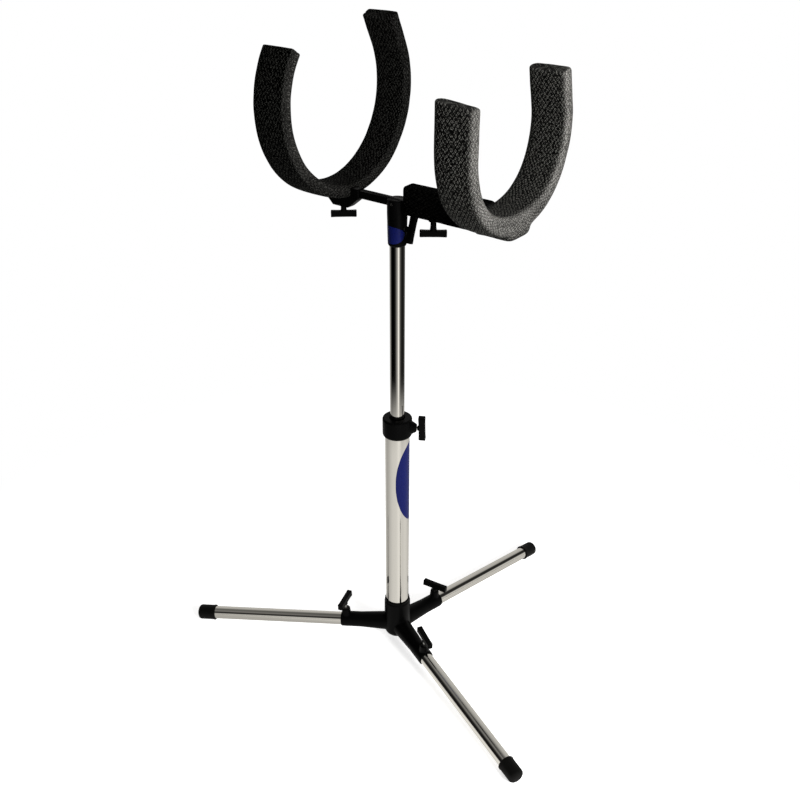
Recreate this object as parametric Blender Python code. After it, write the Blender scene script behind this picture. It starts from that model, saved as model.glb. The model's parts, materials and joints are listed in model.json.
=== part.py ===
"""A hand drum stand: a tripod base, a telescoping post, and two padded cradles that slide on a cross bar.

Metres, +Z up. The origin is the centre of the hub's flat underside, on the post's axis.
+X runs along the cross bar, from the large cradle towards the small one.
"""

import math

import bmesh
import bpy
from mathutils import Matrix, Vector

# Gap between pieces that touch or pass through each other
GAP = 0.0003
# How far a cutter runs past what it cuts
CLEAR = 0.002
# Facets round the large, the middling and the small turned pieces
ROUND = 40
MIDDLE = 28
FINE = 18
# The bevel profile of a quarter circle
ROUND_BEVEL = 0.5

# Post
LOWER_OD = 0.035
LOWER_WALL = 0.0015
UPPER_OD = 0.020
UPPER_WALL = 0.0012
LOWER_LENGTH = 0.350
UPPER_LENGTH = 0.4022
UPPER_OVERLAP = 0.100

# Hub and its three sockets
HUB_R = 0.020
HUB_EDGE = 0.010
HUB_H = 0.070
LIP_H = 0.004
LIP_WALL = 0.0012
LIP_CHAMFER = 0.002
LEG_AXIS_Z = 0.020
SOCKET_R = 0.012
SOCKET_ROOT_R = 0.0142
SOCKET_FROM = 0.002
SOCKET_TAPER_END = 0.058
SOCKET_END = 0.090
SOCKET_MOUTH_BEVEL = 0.0012
SOCKET_BLIND = 0.024

# Legs: the turn of each about the post, and their fall towards the floor
PAIR_SPREAD = math.radians(103.0)
BASE_TURN = math.radians(28.5)
LEG_FALL = math.radians(4.35)
LEG_OD = 0.020
LEG_WALL = 0.0012
LEG_START = 0.035
LEG_END = 0.322
LEGS = {
    "left": BASE_TURN + math.pi,
    "rear": BASE_TURN + PAIR_SPREAD / 2,
    "front": BASE_TURN - PAIR_SPREAD / 2,
}

# Rubber foot caps
CAP_WALL = 0.0018
CAP_DEPTH = 0.022
CAP_END = 0.004
CAP_CROWN = 0.003
CAP_EDGE = 0.0022
CAP_LIP = 0.0006
CAP_TREAD = 0.0010

# Clamping screws: steel stud, brass insert, moulded handle
STUD_R = 0.0025
INSERT_R = 0.0040
INSERT_H = 0.0080
BOSS_WALL = 0.0027
BOSS_DRAFT = 0.001
LARGE_HANDLE = (0.040, 0.0068, 0.0078)
SMALL_HANDLE = (0.034, 0.0064, 0.0070)
STUD_SHOWN = 0.0012
NECK_WALL = 0.0009
NECK_SPREAD = 0.0030
NECK_RINGS = 5
HANDLE_BEVEL = 0.0012
STUD_POINT = 0.0008
SHORT_INSERT_H = 0.0060
LEG_SCREW_AT = 0.081
LEG_BOSS_FROM = 0.004
LEG_BOSS_TOP = 0.022
LEG_SCREW_REACH = 0.0220
LEG_SCREW_SLACK = {"left": 0.0060, "rear": 0.0, "front": 0.0060}
LEG_HANDLE_TURN = {"left": math.radians(-101.5), "rear": math.radians(-72.6), "front": math.radians(-6.0)}

# Collar on the lower tube, and the bush inside it
COLLAR_R = 0.021
COLLAR_SKIRT = 0.022
COLLAR_CROWN = 0.006
COLLAR_EDGE = 0.0022
THROAT_BEVEL = 0.001
COLLAR_SCREW_DROP = 0.0095
COLLAR_BOSS_FROM = 0.0015
COLLAR_BOSS_ROOT_R = 0.0105
COLLAR_BOSS_TIP = 0.0275
COLLAR_SCREW_REACH = 0.0262
COLLAR_HANDLE_TURN = math.radians(80.0)
BUSH_LENGTH = 0.040
BUSH_FLANGE = 0.0015
PLUG_FLANGE_H = 0.010
PLUG_BEVEL = 0.001
PLUG_SPIGOT_H = 0.014

# Head that carries the bar
HEAD_TOP_R = 0.0131
HEAD_BOTTOM_R = 0.0122
HEAD_EDGE = 0.0020
HEAD_ROOF = 0.0085
HEAD_GRIP = 0.0425
HEAD_SCREW_UP = 0.024
HEAD_SCREW_REACH = 0.0133
HEAD_HANDLE_TURN = math.radians(109.0)
PIN_R = 0.0020
PIN_SUNK = 0.0006

# Square cross bar
BAR_SIDE = 0.010
BAR_LEFT_X = -0.1180
BAR_RIGHT_X = 0.1250
BAR_EDGE = 0.0008

# Square sleeves that slide on the bar
SLEEVE_WALL = 0.0012
LEFT_SLEEVE = (-0.1160, -0.0580)
RIGHT_SLEEVE_END_COVER = 0.0032
LEFT_CLAMP_X = -0.0885
RIGHT_CLAMP_X = 0.0560
LEFT_BOSS_DROP = 0.0141
LEFT_BOSS_INSET = 0.002
LEFT_BOSS_FOOT = 0.0125
LEFT_BOSS_HALF = 0.0070
RIGHT_BOSS_DROP = 0.0065
RIGHT_BOSS_R = 0.0060
LEFT_CLAMP_REACH = 0.0280
RIGHT_CLAMP_REACH = 0.0245
LEFT_HANDLE_TURN = math.radians(-40.0)
RIGHT_HANDLE_TURN = math.radians(-36.0)

# Padded cradles: steel straps inside foam. Each arm is an arc from the bottom, then a straight length
STRAP_WIDTH = 0.028
STRAP_THICK = 0.003
STRAP_SHORT = 0.006
TIP_TRIM = 0.0015
TIP_SCALE = 0.86
PAD_STATIONS = 18
STRAP_STATIONS = 16
LEFT_PAD_WIDTH = 0.048
LEFT_PAD_THICK = 0.0160
LEFT_PAD_EDGE = 0.0030
LEFT_CRADLE_X = -0.0947
LEFT_CRADLE_R = 0.1240
LEFT_ARMS = {"front": (math.radians(124.8), 0.0), "rear": (math.radians(115.5), 0.039)}
RIGHT_PAD_WIDTH = 0.053
RIGHT_PAD_THICK = 0.0175
RIGHT_PAD_EDGE = 0.0085
RIGHT_CRADLE_X = 0.1542
RIGHT_CRADLE_R = 0.1090
RIGHT_ARMS = {"front": (math.radians(90.0), 0.0555), "rear": (math.radians(104.0), 0.039)}
SPINE_WIDTH = 0.022
SPINE_UP = 0.0265
SPINE_DOWN = 0.011
SPINE_EDGE = 0.0040
SPINE_OVERLAP = 0.0105
CHIN_WIDTH = 0.040
CHIN_EDGE = 0.0085
SCREW_NOTCH = 0.0075

# Values that follow from the ones above
LOWER_R = LOWER_OD / 2
UPPER_R = UPPER_OD / 2
LEG_R = LEG_OD / 2
TUBE_SEAT_Z = LEG_AXIS_Z + LEG_R + 0.006
LOWER_TOP_Z = TUBE_SEAT_Z + LOWER_LENGTH
COLLAR_BOTTOM_Z = LOWER_TOP_Z - COLLAR_SKIRT
COLLAR_TOP_Z = LOWER_TOP_Z + COLLAR_CROWN
COLLAR_SCREW_Z = LOWER_TOP_Z - COLLAR_SCREW_DROP
UPPER_BOTTOM_Z = LOWER_TOP_Z - UPPER_OVERLAP
HEAD_BORE_TOP_Z = UPPER_BOTTOM_Z + UPPER_LENGTH + GAP
HEAD_BOTTOM_Z = HEAD_BORE_TOP_Z - HEAD_GRIP
HEAD_SCREW_Z = HEAD_BOTTOM_Z + HEAD_SCREW_UP
BAR_BOTTOM_Z = HEAD_BORE_TOP_Z + HEAD_ROOF
BAR_Z = BAR_BOTTOM_Z + BAR_SIDE / 2
HEAD_TOP_Z = BAR_Z + BAR_SIDE / 2
SPINE_TOP_Z = BAR_Z + SPINE_UP
SPINE_BOTTOM_Z = BAR_Z - SPINE_DOWN
SLEEVE_SIDE = BAR_SIDE + 2 * (GAP + SLEEVE_WALL)
SLEEVE_BOTTOM_Z = BAR_Z - SLEEVE_SIDE / 2
PAD_BOTTOM_Z = BAR_BOTTOM_Z
LEFT_BOSS_TOP = BAR_BOTTOM_Z - SLEEVE_BOTTOM_Z + LEFT_BOSS_DROP
RIGHT_BOSS_TOP = BAR_BOTTOM_Z - SLEEVE_BOTTOM_Z + RIGHT_BOSS_DROP
RIGHT_SLEEVE = (HEAD_TOP_R + 0.0030, RIGHT_CRADLE_X + RIGHT_PAD_WIDTH / 2 - RIGHT_SLEEVE_END_COVER)
SPINE = (HEAD_TOP_R + 0.0020, RIGHT_CRADLE_X - RIGHT_PAD_WIDTH / 2 + SPINE_OVERLAP)


def clear_scene():
    for item in list(bpy.data.objects):
        bpy.data.objects.remove(item, do_unlink=True)


def make_material(name, colour, roughness, metallic=0.0):
    material = bpy.data.materials.new(name)
    material.use_nodes = True
    shader = material.node_tree.nodes["Principled BSDF"]
    shader.inputs["Base Color"].default_value = (*colour, 1.0)
    shader.inputs["Roughness"].default_value = roughness
    shader.inputs["Metallic"].default_value = metallic
    material.diffuse_color = (*colour, 1.0)
    return material


def make_empty(name, location=(0.0, 0.0, 0.0), rotation=(0.0, 0.0, 0.0), parent=None):
    """A frame that pieces hang from. Rotation is an Euler triple or a matrix."""
    empty = bpy.data.objects.new(name, None)
    bpy.context.scene.collection.objects.link(empty)
    place(empty, location, rotation, parent)
    return empty


def place(item, location=(0.0, 0.0, 0.0), rotation=(0.0, 0.0, 0.0), parent=None):
    item.parent = parent
    if isinstance(rotation, Matrix):
        item.matrix_local = Matrix.Translation(Vector(location)) @ rotation.to_4x4()
    else:
        item.location = location
        item.rotation_euler = rotation


def finish(name, bm, material=None, smooth=math.radians(35.0)):
    """Turns a bmesh into a linked object whose faces point outwards."""
    bmesh.ops.remove_doubles(bm, verts=bm.verts, dist=1e-7)
    bmesh.ops.recalc_face_normals(bm, faces=bm.faces)
    mesh = bpy.data.meshes.new(name)
    bm.to_mesh(mesh)
    bm.free()
    mesh.shade_smooth()
    mesh.set_sharp_from_angle(angle=smooth)
    item = bpy.data.objects.new(name, mesh)
    bpy.context.scene.collection.objects.link(item)
    if material:
        mesh.materials.append(material)
    return item


def turned(name, profile, material=None, steps=ROUND):
    """Spins a profile of (radius, height) pairs about Z. It closes on the axis or on itself."""
    bm = bmesh.new()
    points = [bm.verts.new((r, 0.0, z)) for r, z in profile]
    edges = [bm.edges.new(pair) for pair in zip(points, points[1:])]
    if profile[0][0] > 0.0 or profile[-1][0] > 0.0:
        edges.append(bm.edges.new((points[-1], points[0])))
    bmesh.ops.spin(
        bm, geom=points + edges, cent=(0, 0, 0), axis=(0, 0, 1), angle=math.tau, steps=steps, use_merge=True
    )
    return finish(name, bm, material)


def rounded_box(name, size, centre, edge, material=None, segments=2):
    bm = bmesh.new()
    bmesh.ops.create_cube(bm, size=1.0)
    bmesh.ops.scale(bm, vec=size, verts=bm.verts)
    if edge:
        bmesh.ops.bevel(bm, geom=bm.edges, offset=edge, segments=segments, profile=ROUND_BEVEL, affect="EDGES")
    bmesh.ops.translate(bm, vec=centre, verts=bm.verts)
    return finish(name, bm, material)


def extruded(name, outline, depth, material=None):
    """A prism: an outline in the XZ plane, pushed along Y to both sides of it."""
    bm = bmesh.new()
    face = bm.faces.new([bm.verts.new((x, -depth / 2, z)) for x, z in outline])
    grown = bmesh.ops.extrude_face_region(bm, geom=[face])
    moved = [part for part in grown["geom"] if isinstance(part, bmesh.types.BMVert)]
    bmesh.ops.translate(bm, vec=(0.0, depth, 0.0), verts=moved)
    return finish(name, bm, material)


def loft(name, rings, material=None):
    """Skins a row of rings that have the same number of points, and caps both ends."""
    bm = bmesh.new()
    loops = [[bm.verts.new(point) for point in ring] for ring in rings]
    count = len(rings[0])
    for near, far in zip(loops, loops[1:]):
        for i in range(count):
            j = (i + 1) % count
            bm.faces.new((near[i], near[j], far[j], far[i]))
    bm.faces.new(loops[0])
    bm.faces.new(loops[-1])
    return finish(name, bm, material)


def boolean(target, tool, operation):
    """Joins or cuts the target with a helper that no render shows.

    The exact solver leaves edges with three faces in the hub and the right carriage, where two bores of one
    boss meet, so the manifold solver is used.
    """
    tool.hide_render = True
    tool.display_type = "WIRE"
    modifier = target.modifiers.new(tool.name, "BOOLEAN")
    modifier.operation = operation
    modifier.object = tool
    modifier.solver = "MANIFOLD"


def rod(name, radius, low, high, steps=FINE):
    """A plain cylinder on Z, used as a tool or as a simple pin."""
    return turned(name, [(0.0, low), (radius, low), (radius, high), (0.0, high)], steps=steps)


def tube(name, outer, wall, low, high, material, steps=ROUND):
    return turned(name, [(outer - wall, low), (outer, low), (outer, high), (outer - wall, high)], material, steps)


def arc_points(centre, radius, start, end, count):
    """Points of an arc in a profile, with angles measured from +radius towards +height."""
    turn = [start + (end - start) * i / count for i in range(count + 1)]
    return [(centre[0] + radius * math.cos(a), centre[1] + radius * math.sin(a)) for a in turn]


def neck_length(reach, handle, boss_top):
    """Length of a handle's neck, which stops just short of the boss when the screw is tight."""
    return reach - handle[2] / 2 - boss_top - STUD_SHOWN


def neck_rings(low, high, across):
    """Rings of a handle's neck: round at its foot, then wider along the crossbar than across it."""
    foot = STUD_R + GAP + NECK_WALL
    wide = foot + NECK_SPREAD
    narrow = across / 2 - GAP
    rings = []
    for i in range(NECK_RINGS + 1):
        up = i / NECK_RINGS
        reach_x = foot + (wide - foot) * up ** 3
        reach_y = foot + (narrow - foot) * up ** 3
        turn = [math.tau * k / FINE for k in range(FINE)]
        rings.append([(reach_x * math.cos(a), reach_y * math.sin(a), low + (high - low) * up) for a in turn])
    return rings


def make_screw(name, parent, location, rotation, reach, handle, neck, turn, materials):
    """A T-handled clamping screw. Its frame has Z along the screw, and its tip is at the frame's origin."""
    frame = make_empty(name + "_axis", location, rotation, parent)
    length, across, tall = handle
    collar_z = reach - tall / 2
    stud_top = reach - tall * 0.1
    stud = turned(
        name + "_stud",
        [
            (0.0, GAP),
            (STUD_R - STUD_POINT, GAP),
            (STUD_R, GAP + STUD_POINT),
            (STUD_R, stud_top),
            (0.0, stud_top),
        ],
        materials["steel"],
        FINE,
    )
    place(stud, parent=frame)
    grip = rounded_box(name + "_handle", (length, across, tall), (0.0, 0.0, reach), HANDLE_BEVEL, materials["handle"], 1)
    place(grip, rotation=(0.0, 0.0, turn), parent=frame)
    root = loft(name + "_neck", neck_rings(collar_z - neck, collar_z + tall * 0.3, across))
    place(root, parent=grip)
    boolean(grip, root, "UNION")
    hole = rod(name + "_hole", STUD_R + GAP, collar_z - neck - 0.001, stud_top + GAP)
    place(hole, parent=grip)
    boolean(grip, hole, "DIFFERENCE")
    return frame


def make_insert(name, frame, top, materials, height=INSERT_H):
    """A threaded insert, flush with the top of its boss."""
    insert = tube(name, INSERT_R, INSERT_R - STUD_R - GAP, top - height, top, materials["brass"], FINE)
    place(insert, parent=frame)
    return insert


def bore_for_insert(target, name, frame, bottom, top, height=INSERT_H):
    """Bores a boss for its insert, and for the stud under it."""
    passage = rod(name + "_passage", STUD_R + GAP, bottom, top + CLEAR)
    place(passage, parent=frame)
    boolean(target, passage, "DIFFERENCE")
    seat = rod(name + "_seat", INSERT_R + GAP, top - height - GAP, top + CLEAR)
    place(seat, parent=frame)
    boolean(target, seat, "DIFFERENCE")


def make_leg_frame(name, azimuth):
    """A frame on the leg's axis: X runs out along the leg, Z up and square to it."""
    turn = Matrix.Rotation(azimuth, 3, "Z") @ Matrix.Rotation(LEG_FALL, 3, "Y")
    return make_empty("leg_" + name + "_frame", (0.0, 0.0, LEG_AXIS_Z), turn)


ALONG_X = Matrix.Rotation(math.pi / 2, 3, "Y")


def make_hub(leg_frames, materials):
    """The moulded hub: a cup for the post, and three sockets with their screw bosses."""
    bore = LOWER_R + GAP
    lip = bore + LIP_WALL
    corner = arc_points((HUB_R - HUB_EDGE, HUB_EDGE), HUB_EDGE, -math.pi / 2, 0.0, 5)
    profile = [
        (0.0, 0.0),
        *corner,
        (HUB_R, HUB_H - LIP_H - LIP_CHAMFER),
        (lip, HUB_H - LIP_H),
        (lip, HUB_H),
        (bore, HUB_H),
        (bore, TUBE_SEAT_Z),
        (0.0, TUBE_SEAT_Z),
    ]
    hub = turned("hub", profile, materials["plastic"])
    bevel = SOCKET_MOUTH_BEVEL
    arm = [
        (0.0, SOCKET_FROM),
        (SOCKET_ROOT_R, SOCKET_FROM),
        (SOCKET_ROOT_R, HUB_R),
        (SOCKET_R, SOCKET_TAPER_END),
        (SOCKET_R, SOCKET_END - bevel),
        (SOCKET_R - bevel, SOCKET_END),
        (0.0, SOCKET_END),
    ]
    for name, frame in leg_frames.items():
        socket = turned("socket_" + name, arm, steps=MIDDLE)
        place(socket, rotation=ALONG_X, parent=frame)
        boolean(hub, socket, "UNION")
        boss = turned(
            "socket_boss_" + name,
            [
                (0.0, LEG_BOSS_FROM),
                (INSERT_R + BOSS_WALL + BOSS_DRAFT, LEG_BOSS_FROM),
                (INSERT_R + BOSS_WALL, LEG_BOSS_TOP),
                (0.0, LEG_BOSS_TOP),
            ],
            steps=FINE,
        )
        place(boss, (LEG_SCREW_AT, 0.0, 0.0), parent=frame)
        boolean(hub, boss, "UNION")
    for name, frame in leg_frames.items():
        hole = rod("socket_bore_" + name, LEG_R + GAP, SOCKET_BLIND, SOCKET_END + CLEAR, MIDDLE)
        place(hole, rotation=ALONG_X, parent=frame)
        boolean(hub, hole, "DIFFERENCE")
        screw_frame = make_empty("leg_boss_" + name, (LEG_SCREW_AT, 0.0, 0.0), parent=frame)
        bore_for_insert(hub, "socket_pocket_" + name, screw_frame, LEG_R - CLEAR, LEG_BOSS_TOP)
        make_insert("leg_insert_" + name, screw_frame, LEG_BOSS_TOP, materials)


def make_leg(name, frame, materials):
    """A chrome tube that slides in its socket, with a rubber cap pressed on its end."""
    leg = tube("leg_" + name, LEG_R, LEG_WALL, LEG_START, LEG_END, materials["chrome"], MIDDLE)
    place(leg, rotation=ALONG_X, parent=frame)
    bore = LEG_R + GAP
    outer = bore + CAP_WALL
    start = LEG_END - CAP_DEPTH
    end = LEG_END + GAP + CAP_END
    crown = arc_points((outer - CAP_EDGE, end - CAP_EDGE), CAP_EDGE, 0.0, math.pi / 2, 2)
    cap = turned(
        "foot_cap_" + name,
        [
            (0.0, LEG_END + GAP),
            (bore, LEG_END + GAP),
            (bore, start),
            (outer - CAP_LIP, start),
            (outer, start + CAP_LIP),
            *crown,
            (outer * 0.5, end + CAP_CROWN * 0.75),
            (0.0, end + CAP_CROWN),
        ],
        materials["rubber"],
        MIDDLE,
    )
    place(cap, rotation=ALONG_X, parent=frame)
    size = 4 * outer
    floor = rounded_box("tread_cut_" + name, (size, size, outer), (0.0, 0.0, -outer / 2), 0.0)
    foot_x = (end - CAP_EDGE) * math.cos(LEG_FALL)
    azimuth = LEGS[name]
    place(floor, (foot_x * math.cos(azimuth), foot_x * math.sin(azimuth), floor_z()))
    boolean(cap, floor, "DIFFERENCE")


def floor_z():
    """Height of the floor: the lowest line of a foot cap, less its flat tread."""
    outer = LEG_R + GAP + CAP_WALL
    end = LEG_END + GAP + CAP_END - CAP_EDGE
    return LEG_AXIS_Z - end * math.sin(LEG_FALL) - outer * math.cos(LEG_FALL) + CAP_TREAD


def make_post(collar_frame, materials):
    """Lower tube, collar, bush, upper tube and the plug that guides its foot."""
    lower = tube("lower_tube", LOWER_R, LOWER_WALL, TUBE_SEAT_Z + GAP, LOWER_TOP_Z, materials["chrome"])
    bore = LOWER_R + GAP
    throat = UPPER_R + 3 * GAP
    edge = COLLAR_EDGE
    roof = LOWER_TOP_Z + GAP + BUSH_FLANGE + GAP
    collar = turned(
        "collar",
        [
            (bore, COLLAR_BOTTOM_Z),
            (COLLAR_R - edge / 2, COLLAR_BOTTOM_Z),
            (COLLAR_R, COLLAR_BOTTOM_Z + edge),
            (COLLAR_R, COLLAR_TOP_Z - edge),
            (COLLAR_R - edge * 0.3, COLLAR_TOP_Z - edge * 0.3),
            (COLLAR_R - edge, COLLAR_TOP_Z),
            (throat + THROAT_BEVEL, COLLAR_TOP_Z),
            (throat, COLLAR_TOP_Z - THROAT_BEVEL),
            (throat, roof),
            (bore, roof),
        ],
        materials["plastic"],
    )
    boss = turned(
        "collar_boss",
        [
            (0.0, LOWER_R + COLLAR_BOSS_FROM),
            (COLLAR_BOSS_ROOT_R, LOWER_R + COLLAR_BOSS_FROM),
            (INSERT_R + BOSS_WALL * 0.6, COLLAR_BOSS_TIP),
            (0.0, COLLAR_BOSS_TIP),
        ],
        steps=FINE,
    )
    place(boss, parent=collar_frame)
    boolean(collar, boss, "UNION")
    bore_for_insert(collar, "collar_pocket", collar_frame, LOWER_R - CLEAR, COLLAR_BOSS_TIP)
    make_insert("collar_insert", collar_frame, COLLAR_BOSS_TIP, materials)
    screw_hole = rod("collar_screw_hole", STUD_R + GAP, UPPER_R - CLEAR, LOWER_R + CLEAR)
    place(screw_hole, parent=collar_frame)
    boolean(lower, screw_hole, "DIFFERENCE")
    bush_outer = LOWER_R - LOWER_WALL - GAP
    bush_inner = UPPER_R + GAP
    flange_z = LOWER_TOP_Z + GAP
    bush = turned(
        "collar_bush",
        [
            (bush_inner, flange_z - BUSH_LENGTH),
            (bush_outer, flange_z - BUSH_LENGTH),
            (bush_outer, flange_z),
            (LOWER_R, flange_z),
            (LOWER_R, flange_z + BUSH_FLANGE),
            (bush_inner, flange_z + BUSH_FLANGE),
        ],
        materials["nylon"],
    )
    boolean(bush, screw_hole, "DIFFERENCE")
    tube("upper_tube", UPPER_R, UPPER_WALL, UPPER_BOTTOM_Z, HEAD_BORE_TOP_Z - GAP, materials["chrome"])
    spigot = UPPER_R - UPPER_WALL - GAP
    turned(
        "guide_plug",
        [
            (0.0, UPPER_BOTTOM_Z - GAP - PLUG_FLANGE_H),
            (bush_outer - PLUG_BEVEL, UPPER_BOTTOM_Z - GAP - PLUG_FLANGE_H),
            (bush_outer, UPPER_BOTTOM_Z - GAP - PLUG_FLANGE_H + PLUG_BEVEL),
            (bush_outer, UPPER_BOTTOM_Z - GAP),
            (spigot, UPPER_BOTTOM_Z - GAP),
            (spigot, UPPER_BOTTOM_Z - GAP + PLUG_SPIGOT_H),
            (0.0, UPPER_BOTTOM_Z - GAP + PLUG_SPIGOT_H),
        ],
        materials["nylon"],
    )


def make_head(materials):
    """The head: a tapered cap on the upper tube, slotted across its top for the bar."""
    bore = UPPER_R + GAP
    head = turned(
        "head",
        [
            (0.0, HEAD_BORE_TOP_Z),
            (bore, HEAD_BORE_TOP_Z),
            (bore, HEAD_BOTTOM_Z),
            (HEAD_BOTTOM_R - HEAD_EDGE * 0.5, HEAD_BOTTOM_Z),
            (HEAD_BOTTOM_R, HEAD_BOTTOM_Z + HEAD_EDGE),
            (HEAD_TOP_R, BAR_BOTTOM_Z - HEAD_ROOF),
            (HEAD_TOP_R, HEAD_TOP_Z - HEAD_EDGE * 0.5),
            (HEAD_TOP_R - HEAD_EDGE * 0.5, HEAD_TOP_Z),
            (0.0, HEAD_TOP_Z),
        ],
        materials["casting"],
    )
    slot_side = BAR_SIDE + 2 * GAP
    slot = rounded_box(
        "head_slot", (4 * HEAD_TOP_R, slot_side, slot_side + CLEAR), (0.0, 0.0, BAR_Z + CLEAR / 2), 0.0
    )
    boolean(head, slot, "DIFFERENCE")
    thread = rod("head_thread", STUD_R + GAP, UPPER_R - CLEAR, HEAD_TOP_R + CLEAR)
    place(thread, (0.0, 0.0, HEAD_SCREW_Z), ALONG_X)
    boolean(head, thread, "DIFFERENCE")
    across = Matrix.Rotation(-math.pi / 2, 3, "X")
    pin_hole = rod("pin_hole", PIN_R + GAP, -HEAD_TOP_R - CLEAR, HEAD_TOP_R + CLEAR)
    place(pin_hole, (0.0, 0.0, BAR_Z), across)
    boolean(head, pin_hole, "DIFFERENCE")
    length = BAR_RIGHT_X - BAR_LEFT_X
    middle = (BAR_RIGHT_X + BAR_LEFT_X) / 2
    bar = rounded_box("bar", (length, BAR_SIDE, BAR_SIDE), (middle, 0.0, BAR_Z), BAR_EDGE, materials["black_steel"], 1)
    boolean(bar, pin_hole, "DIFFERENCE")
    pin_half = HEAD_TOP_R - PIN_SUNK
    pin = turned(
        "bar_pin",
        [(0.0, -pin_half), (PIN_R, -pin_half), (PIN_R, pin_half), (0.0, pin_half)],
        materials["steel"],
        FINE,
    )
    place(pin, (0.0, 0.0, BAR_Z), across)


def make_sleeve(name, ends, materials):
    """A length of square tube that slides on the bar."""
    outer = SLEEVE_SIDE
    inner = BAR_SIDE + 2 * GAP
    middle = (ends[0] + ends[1]) / 2
    length = ends[1] - ends[0]
    sleeve = rounded_box(name, (length, outer, outer), (middle, 0, BAR_Z), BAR_EDGE, materials["black_steel"], 1)
    hollow = rounded_box(name + "_hollow", (length + 2 * CLEAR, inner, inner), (middle, 0.0, BAR_Z), 0.0)
    return sleeve, hollow


DOWN = Matrix.Rotation(math.pi, 3, "X")


def make_left_carriage(materials):
    sleeve, hollow = make_sleeve("left_carriage", LEFT_SLEEVE, materials)
    low = SLEEVE_BOTTOM_Z - LEFT_BOSS_DROP
    foot = LEFT_BOSS_FOOT
    inset = LEFT_BOSS_INSET
    shoulder = SLEEVE_BOTTOM_Z - SLEEVE_WALL
    weld = SLEEVE_BOTTOM_Z + SLEEVE_WALL / 2
    outline = [
        (LEFT_SLEEVE[0] + inset, weld),
        (LEFT_SLEEVE[0] + inset, shoulder),
        (LEFT_CLAMP_X - foot, low),
        (LEFT_CLAMP_X + foot, low),
        (LEFT_SLEEVE[1] - inset, shoulder),
        (LEFT_SLEEVE[1] - inset, weld),
    ]
    boss = extruded("left_boss", outline, 2 * LEFT_BOSS_HALF)
    boolean(sleeve, boss, "UNION")
    boolean(sleeve, hollow, "DIFFERENCE")
    frame = make_empty("left_clamp_frame", (LEFT_CLAMP_X, 0.0, BAR_BOTTOM_Z), DOWN)
    bore_for_insert(sleeve, "left_pocket", frame, -CLEAR, LEFT_BOSS_TOP)
    make_insert("left_clamp_insert", frame, LEFT_BOSS_TOP, materials)
    return frame


def make_right_carriage(materials):
    sleeve, hollow = make_sleeve("right_carriage", RIGHT_SLEEVE, materials)
    frame = make_empty("right_clamp_frame", (RIGHT_CLAMP_X, 0.0, BAR_BOTTOM_Z), DOWN)
    boss = rod("right_boss", RIGHT_BOSS_R, GAP + SLEEVE_WALL * 0.5, RIGHT_BOSS_TOP)
    place(boss, parent=frame)
    boolean(sleeve, boss, "UNION")
    boolean(sleeve, hollow, "DIFFERENCE")
    bore_for_insert(sleeve, "right_pocket", frame, -CLEAR, RIGHT_BOSS_TOP, SHORT_INSERT_H)
    make_insert("right_clamp_insert", frame, RIGHT_BOSS_TOP, materials, SHORT_INSERT_H)
    return frame


def cradle_path(radius, centre_z, arc, straight, start, count):
    """Stations (y, z, outward y, outward z) along a cradle, from the angle start on its +Y side to its tip."""
    stations = []
    for i in range(count + 1):
        a = start + (arc - start) * i / count
        out_y, out_z = math.sin(a), -math.cos(a)
        stations.append((radius * out_y, centre_z + radius * out_z, out_y, out_z))
    y, z, out_y, out_z = stations[-1]
    if straight:
        stations.append((y - out_z * straight, z + out_y * straight, out_y, out_z))
    return stations


def flipped(stations):
    """The same stations on the -Y side."""
    return [(-y, z, -out_y, out_z) for y, z, out_y, out_z in stations]


def section(width, low, high, edge, segments=2):
    """A rounded rectangle: pairs of (place along the bar, place outwards)."""
    half = width / 2
    points = []
    for cx, cy, turn in ((half, high, 0), (-half, high, 1), (-half, low, 2), (half, low, 3)):
        if not edge:
            points.append((cx, cy))
            continue
        mx = cx - math.copysign(edge, cx)
        my = cy - edge if cy == high else cy + edge
        for i in range(segments + 1):
            a = math.pi / 2 * (turn + i / segments)
            points.append((mx + edge * math.cos(a), my + edge * math.sin(a)))
    return points


def band(name, x, stations, outline, material=None, trim=0.0):
    """Sweeps a section along stations. With trim, both tips are drawn in a little, as cut foam is."""
    rings = []
    last = len(stations) - 1
    middle = sum(out for _, out in outline) / len(outline)
    for k, (y, z, out_y, out_z) in enumerate(stations):
        rings.append([(x + ax, y + out_y * out, z + out_z * out) for ax, out in outline])
        if trim and k in (0, last):
            side = 1.0 if k else -1.0
            along = (-out_z * side, out_y * side) if k else (out_z, -out_y)
            scale = TIP_SCALE
            tip = [
                (
                    x + ax * scale,
                    y + out_y * (middle + (out - middle) * scale) + along[0] * trim,
                    z + out_z * (middle + (out - middle) * scale) + along[1] * trim,
                )
                for ax, out in outline
            ]
            rings.insert(len(rings) if k else 0, tip)
    return loft(name, rings, material)


def both_ways(front, rear):
    """One row of stations, from the front arm's tip through the bottom to the rear arm's tip."""
    return flipped(front)[:0:-1] + rear


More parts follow.
